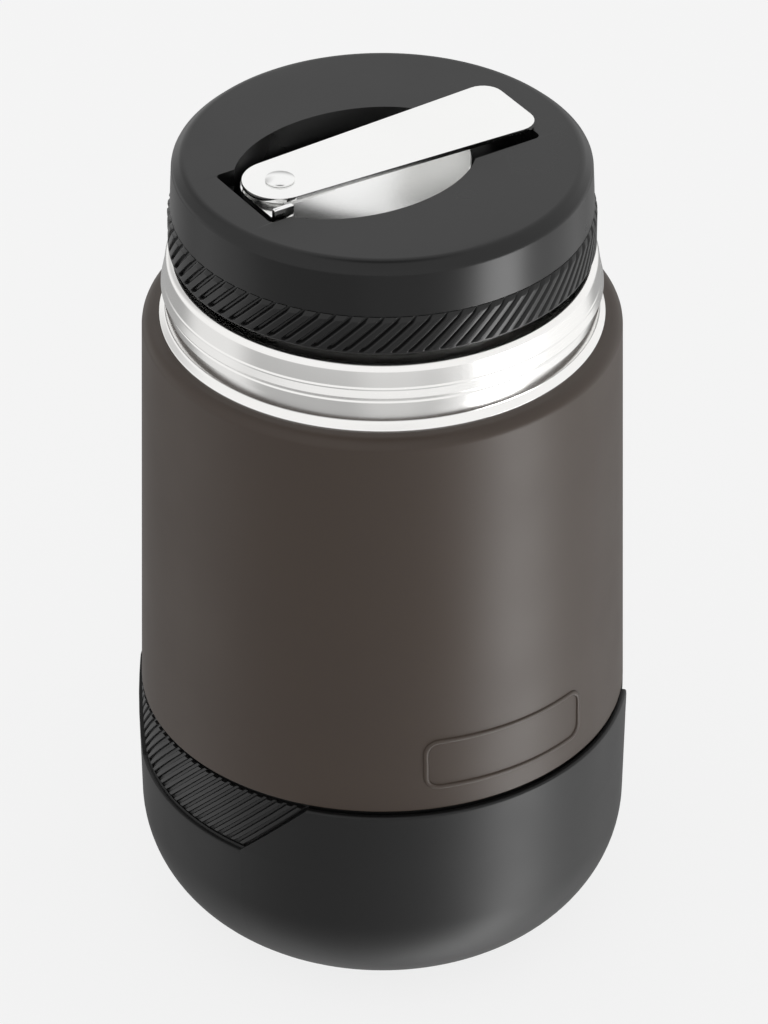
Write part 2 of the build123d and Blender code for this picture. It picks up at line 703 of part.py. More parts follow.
def pivot_rivet():
    """Domed rivet through handle, washer, stop plate and bowl."""
    head_foot = handle_top + GLUE_GAP
    foot = rivet_foot_top - RIVET_FOOT_HEIGHT
    shank = Cylinder(RIVET_RADIUS, head_foot - rivet_foot_top)
    lower = Cylinder(RIVET_HEAD_RADIUS, RIVET_FOOT_HEIGHT)
    dome_radius = (RIVET_HEAD_RADIUS ** 2 + RIVET_HEAD_HEIGHT ** 2) / (2 * RIVET_HEAD_HEIGHT)
    dome = Pos(0, 0, head_foot + RIVET_HEAD_HEIGHT - dome_radius) * Sphere(dome_radius)
    dome &= Pos(0, 0, head_foot + dome_radius) * Box(4 * dome_radius, 4 * dome_radius, 2 * dome_radius)
    rivet = dome + Pos(0, 0, (head_foot + rivet_foot_top) / 2) * shank
    rivet += Pos(0, 0, foot + RIVET_FOOT_HEIGHT / 2) * lower
    return at_angle(SPOON_ANGLE) * Pos(PIVOT_X, 0, 0) * rivet


nodes = {
    "base_boot": base_boot,
    "boot_grip_left": lambda: boot_grip(0),
    "boot_grip_right": lambda: boot_grip(180),
    "outer_shell": outer_shell,
    "shell_base": shell_base,
    "vacuum_seal": vacuum_seal,
    "blank_badge": blank_badge,
    "neck_collar": neck_collar,
    "inner_liner": inner_liner,
    "getter_pellet": getter_pellet,
    "getter_clip": getter_clip,
    "lid_cover": lid_cover,
    "lid_grip_ring": lid_grip_ring,
    "lid_body": lid_body,
    "lid_foam": lid_foam,
    "lid_gasket": lid_gasket,
    "spoon_bowl": spoon_bowl,
    "stop_plate": stop_plate,
    "spoon_handle": spoon_handle,
    "pivot_washer": pivot_washer,
    "pivot_rivet": pivot_rivet,
}

os.makedirs("parts", exist_ok=True)
for name, make in nodes.items():
    export_step(make(), f"parts/{name}.step")
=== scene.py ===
"""Dresses the insulated food jar: meshes, finishes, light and camera, all in metres in the part's frame."""

import logging
import math
from dataclasses import dataclass, field, replace
from enum import Enum
from typing import Sequence

import bmesh
import bpy
import numpy as np
from mathutils import Matrix, Vector
from mathutils.geometry import tessellate_polygon


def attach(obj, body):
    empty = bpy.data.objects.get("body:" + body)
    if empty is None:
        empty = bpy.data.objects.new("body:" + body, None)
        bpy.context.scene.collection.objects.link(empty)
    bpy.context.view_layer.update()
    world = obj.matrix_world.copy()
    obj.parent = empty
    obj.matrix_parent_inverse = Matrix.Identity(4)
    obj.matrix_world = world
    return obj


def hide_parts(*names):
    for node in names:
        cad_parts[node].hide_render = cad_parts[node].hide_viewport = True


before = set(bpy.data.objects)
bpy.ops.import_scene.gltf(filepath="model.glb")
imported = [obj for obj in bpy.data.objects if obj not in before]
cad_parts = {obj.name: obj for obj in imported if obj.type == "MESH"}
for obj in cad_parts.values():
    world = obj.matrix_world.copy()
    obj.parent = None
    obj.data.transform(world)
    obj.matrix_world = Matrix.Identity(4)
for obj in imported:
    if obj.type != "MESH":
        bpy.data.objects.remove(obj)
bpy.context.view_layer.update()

logging.basicConfig(level=logging.INFO, format="%(name)s: %(message)s")
log = logging.getLogger("food_jar")

Point = tuple[float, float]
Corner = tuple[float, ...]
Spot = tuple[float, float, float]
Piece = bpy.types.Object
Socket = bpy.types.NodeSocket
Tree = bpy.types.NodeTree

MM_PER_METRE = 1000
# Facets round the walls that show most.
FACETS = 288
# Turn of one chord of a rounded corner, and the fewest chords that it has.
CHORD_DEGREES = 13
FEWEST_CHORDS = 3
# Points closer than this are joined.
WELD_MM = 0.0005
# Edges above this angle are rounded where a piece asks for it, in this number of steps.
HARD_DEGREES = 38
BEVEL_STEPS = 3


class Body(Enum):
    """The moving bodies of the jar."""

    JAR = "jar"
    SEAL = "lid_seal"
    LID = "lid"
    SPOON = "spoon"
    HANDLE = "handle"


class Slot(Enum):
    """The record's material slots, one named for each new piece."""

    PAINT = "brown_paint"
    STEEL = "satin_steel"
    SPOON = "spoon_steel"
    PLASTIC = "black_plastic"
    BOOT = "black_rubber"
    GRIP = "grip_rubber"
    SILICONE = "clear_silicone"


# ---- outlines ----


def arc(centre: Point, radius: float, start: float, end: float, steps: int) -> list[Point]:
    """Points of an arc.

    Args:
        centre: Centre of the arc.
        radius: Its radius.
        start: First angle in degrees.
        end: Last angle in degrees.
        steps: Number of chords.

    Returns:
        The points from start to end, both included.
    """
    angles = [math.radians(start + (end - start) * i / steps) for i in range(steps + 1)]
    return [(centre[0] + radius * math.cos(a), centre[1] + radius * math.sin(a)) for a in angles]


def rounded(corners: Sequence[Corner], closed: bool = False) -> list[Point]:
    """Polyline whose corners are rounded by arcs.

    Args:
        corners: (x, y) or (x, y, radius) corners in order.
        closed: Whether the last corner joins the first.

    Returns:
        The points of the rounded line.
    """
    count = len(corners)
    line: list[Point] = []
    for i, corner in enumerate(corners):
        here = np.array(corner[:2], float)
        radius = corner[2] if len(corner) > 2 else 0.0
        if radius <= 0 or (not closed and i in (0, count - 1)):
            line.append((float(here[0]), float(here[1])))
            continue
        before = np.array(corners[i - 1][:2], float) - here
        after = np.array(corners[(i + 1) % count][:2], float) - here
        before /= np.linalg.norm(before)
        after /= np.linalg.norm(after)
        turn = math.pi - math.acos(float(np.clip(before @ after, -1, 1)))
        reach = radius * math.tan(turn / 2)
        middle = here + (before + after) / np.linalg.norm(before + after) * (radius / math.cos(turn / 2))
        first, last = here + before * reach - middle, here + after * reach - middle
        a0, a1 = math.atan2(first[1], first[0]), math.atan2(last[1], last[0])
        sweep = (a1 - a0 + math.pi) % (2 * math.pi) - math.pi
        steps = max(FEWEST_CHORDS, round(abs(sweep) / math.radians(CHORD_DEGREES)))
        for k in range(steps + 1):
            a = a0 + sweep * k / steps
            line.append((float(middle[0] + radius * math.cos(a)), float(middle[1] + radius * math.sin(a))))
    return line


# ---- meshes ----


class Sheet:
    """Collects quads and triangles and turns them into one object."""

    def __init__(self) -> None:
        """Starts with no faces."""
        self.points: list[Spot] = []
        self.faces: list[tuple[int, ...]] = []

    def grid(self, table: np.ndarray, wrap_rows: bool = False, wrap_columns: bool = False) -> None:
        """Adds a grid of quads.

        Args:
            table: Points in mm, shaped (rows, columns, 3).
            wrap_rows: Whether the last row joins the first.
            wrap_columns: Whether the last column joins the first.
        """
        rows, columns = table.shape[:2]
        base = len(self.points)
        self.points.extend(map(tuple, table.reshape(-1, 3)))
        for r in range(rows if wrap_rows else rows - 1):
            low, high = base + r * columns, base + (r + 1) % rows * columns
            for c in range(columns if wrap_columns else columns - 1):
                d = (c + 1) % columns
                self.faces.append((low + c, low + d, high + d, high + c))

    def fill(self, loops: Sequence[Sequence[Point]], height: float) -> None:
        """Adds a flat face with holes at a height.

        Args:
            loops: Outer loop, then each hole, in mm.
            height: Height in mm.
        """
        base = len(self.points)
        rings = [[Vector((x, y, 0)) for x, y in loop] for loop in loops]
        self.points.extend((p.x, p.y, height) for ring in rings for p in ring)
        self.faces.extend(tuple(base + i for i in face) for face in tessellate_polygon(rings))

    def cap(self, loop: np.ndarray) -> None:
        """Adds one face across a loop.

        Args:
            loop: Points of the loop in mm, shaped (points, 3).
        """
        base = len(self.points)
        self.points.extend(map(tuple, loop))
        self.faces.append(tuple(range(base, base + len(loop))))

    def wall(self, loop: Sequence[Point], low: float, high: float, closed: bool = True) -> None:
        """Adds an upright wall along a line.

        Args:
            loop: Points of the line in mm.
            low: Lower height in mm.
            high: Upper height in mm.
            closed: Whether the line closes.
        """
        table = np.array([[(x, y, z) for x, y in loop] for z in (low, high)])
        self.grid(table, wrap_columns=closed)

    def build(self, name: str, smooth: float, bevel: float = 0.0, turn: float = 0.0) -> Piece:
        """Makes the object.

        Args:
            name: Name of the object.
            smooth: Edges above this angle stay sharp, in degrees.
            bevel: Width of the round on its hard edges, in mm.
            turn: Turn about Z in degrees.

        Returns:
            The new object, in metres.
        """
        bm = bmesh.new()
        made = [bm.verts.new(Vector(p) / MM_PER_METRE) for p in self.points]
        for face in self.faces:
            bm.faces.new([made[i] for i in face])
        weld = WELD_MM / MM_PER_METRE
        bmesh.ops.remove_doubles(bm, verts=bm.verts, dist=weld)
        bmesh.ops.dissolve_degenerate(bm, edges=bm.edges, dist=weld)
        bmesh.ops.recalc_face_normals(bm, faces=bm.faces)
        if bevel:
            limit = math.radians(HARD_DEGREES)
            hard = [e for e in bm.edges if len(e.link_faces) == 2 and e.calc_face_angle() > limit]
            bmesh.ops.bevel(
                bm, geom=hard, offset=bevel / MM_PER_METRE, segments=BEVEL_STEPS, profile=0.5,
                affect="EDGES", clamp_overlap=True,
            )
        turned = Matrix.Rotation(math.radians(turn), 3, "Z")
        bmesh.ops.rotate(bm, verts=bm.verts, matrix=turned, cent=(0, 0, 0))
        mesh = bpy.data.meshes.new(name)
        bm.to_mesh(mesh)
        bm.free()
        mesh.polygons.foreach_set("use_smooth", [True] * len(mesh.polygons))
        mesh.set_sharp_from_angle(angle=math.radians(smooth))
        obj = bpy.data.objects.new(name, mesh)
        bpy.context.scene.collection.objects.link(obj)
        weighted = obj.modifiers.new("face weights", "WEIGHTED_NORMAL")
        weighted.keep_sharp = True
        return obj


def lathe(sheet: Sheet, line: Sequence[Point], closed: bool = False, segments: int = FACETS) -> None:
    """Adds a surface of revolution.

    Args:
        sheet: Where the faces go.
        line: (radius, height) points in mm.
        closed: Whether the line closes on itself.
        segments: Number of facets round the axis.
    """
    angles = np.linspace(0, 2 * math.pi, segments, endpoint=False)
    table = np.empty((len(line), segments, 3))
    for row, (r, z) in enumerate(line):
        table[row, :, 0] = r * np.sin(angles)
        table[row, :, 1] = -r * np.cos(angles)
        table[row, :, 2] = z
    sheet.grid(table, wrap_rows=closed, wrap_columns=True)


def round_jar(angle: float, radius: float, height: float) -> Spot:
    """Point on the jar, its angle in degrees counted from the front towards +X."""
    a = math.radians(angle)
    return (radius * math.sin(a), -radius * math.cos(a), height)


@dataclass(frozen=True)
class Thread:
    """Ridges of a multiple thread, each tapered at its ends.

    Attributes:
        radius: Radius of the wall that carries them, in mm.
        depth: Height of a ridge, outward if positive.
        foot: Height of the middle of a ridge where it starts.
        starts: Number of ridges.
        lead: Rise in one turn.
        span: Length of a ridge in degrees.
        root: Width of a ridge at the wall.
        crest: Width of a ridge at its crest.
        sink: How deep a ridge stands in the wall.
        steps: Number of chords along a ridge.
        taper: Ends of a ridge, as this part of its length each.
        least: Share of the depth that is left at a ridge's very end.
        flank: Share of the depth, and place against the crest's edge in mm, up one flank.
    """

    radius: float
    depth: float
    foot: float
    starts: int = 4
    lead: float = 12.0
    span: float = 70.0
    root: float = 1.1
    crest: float = 0.7
    sink: float = 0.1
    steps: int = 36
    taper: float = 1 / 8
    least: float = 0.02
    flank: tuple[Point, ...] = ((0.85, -0.04), (1.0, 0.1))

    def inside(self, radius: float) -> "Thread":
        """The thread of the same lead that runs between these ridges, on a bore of a radius."""
        return replace(self, radius=radius, depth=-self.depth, foot=self.foot - self.lead / self.starts / 2)

    def add(self, sheet: Sheet) -> None:
        """Adds the ridges to a sheet.

        Args:
            sheet: Where the faces go.
        """
        form = [(math.copysign(self.sink, -self.depth), -self.root / 2)]
        form += [(self.depth * share, -self.crest / 2 + shift) for share, shift in self.flank]
        form += [(r, -z) for r, z in reversed(form)]
        for start in range(self.starts):
            table = np.empty((self.steps + 1, len(form), 3))
            for i in range(self.steps + 1):
                share = i / self.steps
                fade = min(1.0, self.least + min(share, 1 - share) / self.taper)
                # The turn starts at +X, as the part's ridges do.
                angle = 90 + start * 360 / self.starts + self.span * share
                height = self.foot + self.lead * self.span * share / 360
                for j, (r, z) in enumerate(form):
                    out = r * fade if r * self.depth > 0 else r
                    table[i, j] = round_jar(angle, self.radius + out, height + z)
            sheet.grid(table, wrap_columns=True)
            sheet.cap(table[0])
            sheet.cap(table[-1])


# ---- finishes ----


def linear(colour: str) -> tuple[float, float, float, float]:
    """Linear colour of an sRGB hex value.

    Args:
        colour: The value, such as "#F5F5F5".

    Returns:
        Red, green, blue and an alpha of 1.
    """
    parts = [int(colour[i : i + 2], 16) / 255 for i in (1, 3, 5)]
    rgb = [c / 12.92 if c <= 0.04045 else ((c + 0.055) / 1.055) ** 2.4 for c in parts]
    return (rgb[0], rgb[1], rgb[2], 1.0)


def per_metre(size_mm: float) -> float:
    """Texture scale, in cycles a metre, of a feature of a size in mm."""
    return MM_PER_METRE / size_mm


def add_node(
    tree: Tree, kind: str, inputs: dict[str | int, object] | None = None, **settings: object
) -> bpy.types.Node:
    """Adds a shader node with its settings, values and links.

    Args:
        tree: Where the node goes.
        kind: The node's type name, without the ShaderNode in front.
        inputs: Value or linked socket for each input.
        **settings: Properties of the node.

    Returns:
        The new node.
    """
    node = tree.nodes.new("ShaderNode" + kind)
    for key, value in settings.items():
        setattr(node, key, value)
    for key, value in (inputs or {}).items():
        if isinstance(value, Socket):
            tree.links.new(value, node.inputs[key])
        else:
            node.inputs[key].default_value = value
    return node


@dataclass(frozen=True)
class Finish:
    """A surface made from one shader, with grain in its relief, gloss and tone.

    Attributes:
        name: Name of the material.
        colour: sRGB hex colour.
        tone: A second sRGB hex colour that the first drifts towards.
        roughness: Mean roughness.
        drift: How far roughness wanders either way.
        grain_mm: Size of the relief's grain.
        relief_mm: Depth of the relief.
        patch_mm: Size of the slow wander of tone and gloss.
        metallic: 1 for metal, 0 for the rest.
        specular: Strength of the shine of what isn't metal.
        detail: Number of finer layers in the relief.
        crisp: Strength of those layers.
        patch_detail: Number of finer layers in the wander.
        patch_range: Values of the wander at which the gloss is at its ends.
    """

    name: str
    colour: str
    tone: str
    roughness: float
    drift: float = 0.03
    grain_mm: float = 0.5
    relief_mm: float = 0.001
    patch_mm: float = 18.0
    metallic: float = 0.0
    specular: float = 0.5
    detail: float = 2.0
    crisp: float = 0.55
    patch_detail: float = 3.0
    patch_range: Point = (0.25, 0.75)

    def follow(self, tree: Tree, place: Socket) -> Socket:
        """Coordinates that the relief follows: the part's own."""
        return place

    def material(self) -> bpy.types.Material:
        """Builds the material.

        Returns:
            The material.
        """
        made = bpy.data.materials.new(self.name)
        made.use_nodes = True
        tree = made.node_tree
        tree.nodes.clear()
        place = add_node(tree, "TexCoord").outputs["Object"]
        patches = add_node(
            tree, "TexNoise",
            {"Vector": place, "Scale": per_metre(self.patch_mm), "Detail": self.patch_detail},
        ).outputs["Fac"]
        blend = add_node(
            tree, "Mix", {0: patches, 6: linear(self.colour), 7: linear(self.tone)}, data_type="RGBA"
        )
        gloss = add_node(
            tree, "MapRange",
            {
                "Value": patches, "From Min": self.patch_range[0], "From Max": self.patch_range[1],
                "To Min": self.roughness - self.drift, "To Max": self.roughness + self.drift,
            },
        )
        grain = add_node(
            tree, "TexNoise",
            {
                "Vector": self.follow(tree, place), "Scale": per_metre(self.grain_mm), "Detail": self.detail,
                "Roughness": self.crisp,
            },
        )
        bump = add_node(
            tree, "Bump",
            {"Height": grain.outputs["Fac"], "Strength": 1.0, "Distance": self.relief_mm / MM_PER_METRE},
        )
        shader = add_node(
            tree, "BsdfPrincipled",
            {
                "Base Color": blend.outputs[2], "Roughness": gloss.outputs["Result"],
                "Normal": bump.outputs["Normal"], "Metallic": self.metallic,
                "Specular IOR Level": self.specular,
            },
        )
        add_node(tree, "OutputMaterial", {"Surface": shader.outputs[0]})
        return made


@dataclass(frozen=True)
class TurnedFinish(Finish):
    """Metal polished while it turns, so its fine lines run round the axis.

    The lines are drawn coarser than real ones, which are too fine to show.

    Attributes:
        wander: How many lines the pattern drifts in one radian round the axis.
    """

    grain_mm: float = 0.35
    detail: float = 3.0
    crisp: float = 0.6
    wander: float = 0.9

    def follow(self, tree: Tree, place: Socket) -> Socket:
        """Coordinates that change with height and radius and hardly with the angle.

        Args:
            tree: Where the nodes go.
            place: The part's own coordinates.

        Returns:
            The coordinates of the lines.
        """
        parts = add_node(tree, "SeparateXYZ", {"Vector": place})
        across = add_node(tree, "VectorMath", {0: place, 1: (1.0, 1.0, 0.0)}, operation="MULTIPLY")
        radius = add_node(tree, "VectorMath", {0: across.outputs[0]}, operation="LENGTH")
        angle = add_node(tree, "Math", {0: parts.outputs["Y"], 1: parts.outputs["X"]}, operation="ARCTAN2")
        drift = self.wander * self.grain_mm / MM_PER_METRE
        slow = add_node(tree, "Math", {0: angle.outputs[0], 1: drift}, operation="MULTIPLY")
        return add_node(
            tree, "CombineXYZ",
            {"X": slow.outputs[0], "Y": radius.outputs["Value"], "Z": parts.outputs["Z"]},
        ).outputs[0]


@dataclass(frozen=True)
class BrushedFinish(Finish):
    """Sheet metal brushed along one direction, its lines too drawn coarser than real ones.

    Attributes:
        angle: Direction of the lines in degrees.
        stretch: Width of a line as a share of its length.
    """

    grain_mm: float = 0.25
    crisp: float = 0.5
    angle: float = 32.5
    stretch: float = 0.02

    def follow(self, tree: Tree, place: Socket) -> Socket:
        """Coordinates that change across the lines and hardly along them.

        Args:
            tree: Where the nodes go.
            place: The part's own coordinates.

        Returns:
            The coordinates of the lines.
        """
        turned = add_node(
            tree, "Mapping", {"Vector": place, "Rotation": (0.0, 0.0, -math.radians(self.angle))}
        )
        return add_node(
            tree, "VectorMath", {0: turned.outputs[0], 1: (self.stretch, 1.0, 1.0)}, operation="MULTIPLY"
        ).outputs[0]


# Polyester powder coat, baked on steel: an even satin colour with a faint orange peel.
POWDER_COAT = Finish(
    "powder_coat_umber", "#3B3129", "#372D26", 0.45, grain_mm=1.4, relief_mm=0.006, specular=0.38
)
# Moulded thermoplastic rubber: black and matte, with the fine grain of an etched mould. The grain of this
# and of the next two is drawn coarser than the real one, so that it shows.
MOULDED_RUBBER = Finish(
    "moulded_rubber_black", "#141414", "#111111", 0.43, grain_mm=0.45, relief_mm=0.005, specular=0.28
)
# The ribs come from a polished part of the mould, so they shine a little more.
RIBBED_RUBBER = Finish(
    "ribbed_rubber_black", "#141414", "#111111", 0.38, 0.04, grain_mm=0.6, relief_mm=0.005, specular=0.4
)
# Injection moulded polypropylene with spark-eroded texture: a soft even sheen.
MOULDED_PLASTIC = Finish(
    "moulded_polypropylene_black", "#131313", "#101010", 0.29, grain_mm=0.4, relief_mm=0.004, specular=0.34
)
# Drawn stainless steel, polished on a lathe: lines round the neck.
TURNED_STEEL = TurnedFinish(
    "turned_stainless_steel", "#F4F3F1", "#EDECEA", 0.17, relief_mm=0.0015, metallic=1.0
)
# Stamped stainless steel, brushed along the spoon and tumbled.
SPOON_STEEL = BrushedFinish("stamped_stainless_steel", "#F4F4F3", "#F0F0EF", 0.15, metallic=1.0)
# Deep drawn stainless steel, tumbled satin: soft shades without a sharp mirror image.
BOWL_STEEL = BrushedFinish("deep_drawn_stainless_steel", "#F6F6F5", "#F2F2F1", 0.23, metallic=1.0)
# Cast silicone: milky and soft.
SILICONE = Finish("cast_silicone_clear", "#C9CBC8", "#BFC2BF", 0.38, grain_mm=0.8, relief_mm=0.004)
# Blown polyethylene foam: pale with small cells.
FOAM = Finish("blown_foam_white", "#E6E4DE", "#D8D6D0", 0.8, 0.05, grain_mm=0.7, relief_mm=0.15)
# Solder that has run and set: dull grey.
SOLDER = Finish(
    "cast_solder_grey", "#A6A6A2", "#8E8E8A", 0.35, 0.08, grain_mm=1.1, relief_mm=0.05, metallic=1.0
)
# Pressed and sintered metal powder: dark and dry.
SINTERED = Finish(
    "sintered_getter_grey", "#5C5B58", "#4A4946", 0.6, 0.06, grain_mm=0.3, relief_mm=0.03, metallic=1.0
)


class Wardrobe:
    """Makes each material once and dresses pieces with it."""

    def __init__(self) -> None:
        """Starts empty."""
        self._made: dict[str, bpy.types.Material] = {}

    def dress(self, obj: Piece, finish: Finish) -> None:
        """Gives an object the material of a finish and no other.

        Args:
            obj: The object.
            finish: Its finish.
        """
        if finish.name not in self._made:
            self._made[finish.name] = finish.material()
        obj.data.materials.clear()
        obj.data.materials.append(self._made[finish.name])

    def piece(
        self, obj: Piece, finish: Finish, body: Body, slot: Slot, *nodes: str
    ) -> Piece:
        """Gives a piece its finish and body, and hides the solids that it stands for.

        Args:
            obj: The piece.
            finish: Its finish.
            body: The body that it rides on.
            slot: The record's slot; not used.
            *nodes: Solids that it replaces.

        Returns:
            The same piece.
        """
        self.dress(obj, finish)
        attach(obj, body.value)
        if nodes:
            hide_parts(*nodes)
        log.info("%s: %d faces, %s, on %s", obj.name, len(obj.data.polygons), finish.name, body.value)
        return obj

    def carried(self, node: str, finish: Finish) -> None:
        """Gives a carried-over solid its finish."""
        self.dress(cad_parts[node], finish)
        log.info("%s: kept, %s", node, finish.name)


# ---- foot ----


@dataclass
class Grip:
    """Slanted ribbed grip, its sizes shared by rib and pocket."""

    foot: float = 34.8
    top: float = 48.3
    rib_foot: float = 35.1
    reference: float = 48.6
    start: float = -18.2
    span: float = 78.6
    pitch: float = 2.6
    radius: float = 47.0
    rib: float = 0.6
    shortest_rib: float = 0.8
    sink: float = 0.05
    bed: float = 45.97
    margin: float = 0.35
    foot_margin: float = 0.6
    rows: int = 12
    columns: int = 72
    # Share of the pitch and depth under the crest, across a rib.
    section: tuple[Point, ...] = (
        (0.02, 0.65), (0.10, 0.16), (0.15, 0.03), (0.24, 0.0),
        (0.50, 0.0), (0.59, 0.03), (0.64, 0.16), (0.72, 0.65),
    )
    # Height over the rib's foot and depth under the crest, along its rounded lower end.
    tip: tuple[Point, ...] = ((0.0, 0.6), (0.08, 0.3), (0.25, 0.09))
    tip_length: float = 0.5

    @property
    def slant(self) -> float:
        """Degrees round the jar for each mm of height."""
        return math.degrees(1 / self.radius)

    def near(self, height: float) -> float:
        """Angle of the near end at a height."""
        return self.start + (height - self.reference) * self.slant

    def far(self, height: float) -> float:
        """Angle of the far end at a height."""
        return self.start - self.span - (height - self.reference) * self.slant

    def _rib(self, sheet: Sheet, index: int) -> None:
        """Adds one rib, cut by the foot line or by the far end.

        Args:
            sheet: Where the faces go.
            index: Number of the rib, from the near end.
        """
        floor = self.radius - self.rib - self.sink
        table = np.empty((len(self.tip) + self.rows, len(self.section), 3))
        for j, (share, depth) in enumerate(self.section):
            base = self.start - (index + share) * self.pitch
            reach = (self.start - self.span - base) / (2 * self.slant)
            low = min(max(self.rib_foot, self.reference + reach), self.top - self.shortest_rib)
            levels = [(low + rise, drop) for rise, drop in self.tip]
            levels += [(height, 0.0) for height in np.linspace(low + self.tip_length, self.top, self.rows)]
            for i, (height, drop) in enumerate(levels):
                angle = base + (height - self.reference) * self.slant
                table[i, j] = round_jar(angle, max(self.radius - depth - drop, floor), height)
        sheet.grid(table)
        sheet.cap(table[-1])

    def _bed(self, sheet: Sheet) -> None:
        """Adds the slab that carries the ribs.

        Args:
            sheet: Where the faces go.
        """
        skins = []
        for radius in (self.radius - self.rib, self.bed + self.sink):
            table = np.empty((self.rows + 1, self.columns + 1, 3))
            for i in range(self.rows + 1):
                height = self.foot + (self.top - self.foot) * i / self.rows
                near, far = self.near(height), self.far(height)
                for j in range(self.columns + 1):
                    table[i, j] = round_jar(near + (far - near) * j / self.columns, radius, height)
            skins.append(table)
            sheet.grid(table)
        for edge in (np.s_[0], np.s_[-1], np.s_[:, 0], np.s_[:, -1]):
            sheet.grid(np.stack([skin[edge] for skin in skins]))

    def build(self, name: str, turn: float) -> Piece:
        """Makes one grip.

        Args:
            name: Name of the object.
            turn: Place round the jar in degrees.

        Returns:
            The grip.
        """
        sheet = Sheet()
        self._bed(sheet)
        for index in range(int(self.span / self.pitch)):
            self._rib(sheet, index)
        return sheet.build(name, turn=turn, smooth=40)


@dataclass
class Boot:
    """Black cup round the foot: large round, grooved lip and two pockets."""

    height: float = 48.6
    lip_radius: float = 47.87
    taper: float = 0.44
    arc_radius: float = 23.1
    arc_height: float = 22.66
    foot_round: float = 0.8
    wall: float = 1.96
    floor: float = 2.4
    lip: float = 1.2
    lip_foot: float = 47.6
    lip_round: float = 0.5
    groove: float = 1.2
    collar: float = 0.6
    collar_top: float = 49.35
    chamfer: float = 0.16
    # Radii of the mesh's rows on the underside; heights of those on the wall, below and beside the pockets.
    foot_rows: tuple[float, ...] = (0.0, 10.0, 20.0, 26.0)
    low_rows: tuple[float, ...] = (26.0, 29.5, 32.0)
    high_rows: tuple[float, ...] = (37.0, 40.0, 43.0, 45.5, 47.2)
    # Chords of the large round, outside and inside.
    round_steps: tuple[int, int] = (26, 16)
    # Share of the wall's taper that is reached at the lip's foot.
    lip_share: float = 0.97
    # Room between grip and pocket beyond the margin, and width of the pocket's own steep edge.
    pocket_room: float = 0.1
    pocket_step: float = 0.05
    # Columns across a pocket and between two pockets.
    pocket_columns: int = 42
    wall_columns: int = 52
    # Height above the pocket's lower edge and how far the wall draws back there.
    pocket_edge: tuple[Point, ...] = (
        (-0.28, 0.0), (-0.12, 0.06), (0.0, 0.25), (0.04, 0.8), (0.52, 0.95), (0.54, 9.0),
    )
    grip: Grip = field(default_factory=Grip)

    @property
    def pocket_foot(self) -> float:
        """Height of the pockets' lower edge."""
        return self.grip.foot - self.grip.foot_margin

    def _line(self) -> tuple[list[Point], int]:
        """The cup's section and how many of its first points lie outside.

        Returns:
            The points from the middle of the underside to the middle of the floor, and the count of those
            up to the top of the collar.
        """
        side = self.lip_radius - self.taper
        centre = (side - self.arc_radius, self.arc_height)
        inner = side - self.wall
        start = math.degrees(math.asin(-self.arc_height / self.arc_radius))
        bottom = arc(centre, self.arc_radius, start, 0, self.round_steps[0])
        foot = rounded([(0, 0), (bottom[0][0], 0, self.foot_round), bottom[2]])
        outside = [(radius, 0.0) for radius in self.foot_rows] + foot[1:-1] + bottom[2:]
        pocket = [self.pocket_foot + rise for rise, _ in self.pocket_edge]
        for height in [*self.low_rows, *pocket, *self.high_rows]:
            share = (height - self.arc_height) / (self.height - self.arc_height)
            outside.append((side + self.taper * share, height))
        lip_inner, groove = self.lip_radius - self.lip, self.height - self.groove
        ring = self.collar + inner
        outside += rounded([
            (side + self.taper * self.lip_share, self.lip_foot),
            (self.lip_radius, self.height, self.lip_round),
            (lip_inner, self.height, 0.25), (lip_inner, groove, 0.1), (ring, groove, 0.1),
            (ring, self.collar_top, 0.12), (inner, self.collar_top),
        ])
        end = math.degrees(math.asin((self.floor - self.arc_height) / (self.arc_radius - self.wall)))
        inside = arc(centre, self.arc_radius - self.wall, 0, end, self.round_steps[1])
        return outside + inside + [(0.0, self.floor)], len(outside)

    def _columns(self, height: float) -> tuple[list[float], list[float]]:
        """Angles of the columns at a height and how far each may draw back.

        Args:
            height: Height in mm.

        Returns:
            Angles in degrees and depths in mm, one for each column.
        """
        grip = self.grip
        height = min(max(height, self.pocket_foot), self.height)
        edge = math.degrees((grip.margin * math.sqrt(2) + self.pocket_room) / grip.radius)
        slope = math.degrees(self.chamfer * math.sqrt(2) / grip.radius)
        near, far = grip.near(height) + edge, grip.far(height) - edge
        step = math.degrees(self.pocket_step / grip.radius)
        deepest = self.pocket_edge[-1][1]
        angles: list[float] = []
        drops: list[float] = []
        for side in (0, 180):
            inner = np.linspace(far + step, near - step, self.pocket_columns)
            around = np.linspace(near + slope, far - slope + 180, self.wall_columns)[1:-1]
            angles += [side + a for a in (far - slope, far, *inner, near, near + slope, *around)]
            drops += [0.0, 0.1] + [deepest] * len(inner) + [0.1, 0.0] + [0.0] * len(around)
        return angles, drops

    def build(self) -> Piece:
        """Makes the boot.

        Returns:
            The boot.
        """
        line, outside = self._line()
        rows = []
        for index, (radius, height) in enumerate(line):
            outer = index < outside
            above = height - self.pocket_foot
            depth = max([drop for rise, drop in self.pocket_edge if above >= rise - 1e-6], default=0.0)
            row = []
            for angle, drop in zip(*self._columns(height if outer else self.height)):
                back = max(self.grip.bed - 0.02, radius - min(drop, depth)) if outer else radius
                row.append(round_jar(angle, min(radius, back), height))
            rows.append(row)
        sheet = Sheet()
        sheet.grid(np.array(rows), wrap_columns=True)
        return sheet.build("boot", smooth=35)


# ---- steel ----


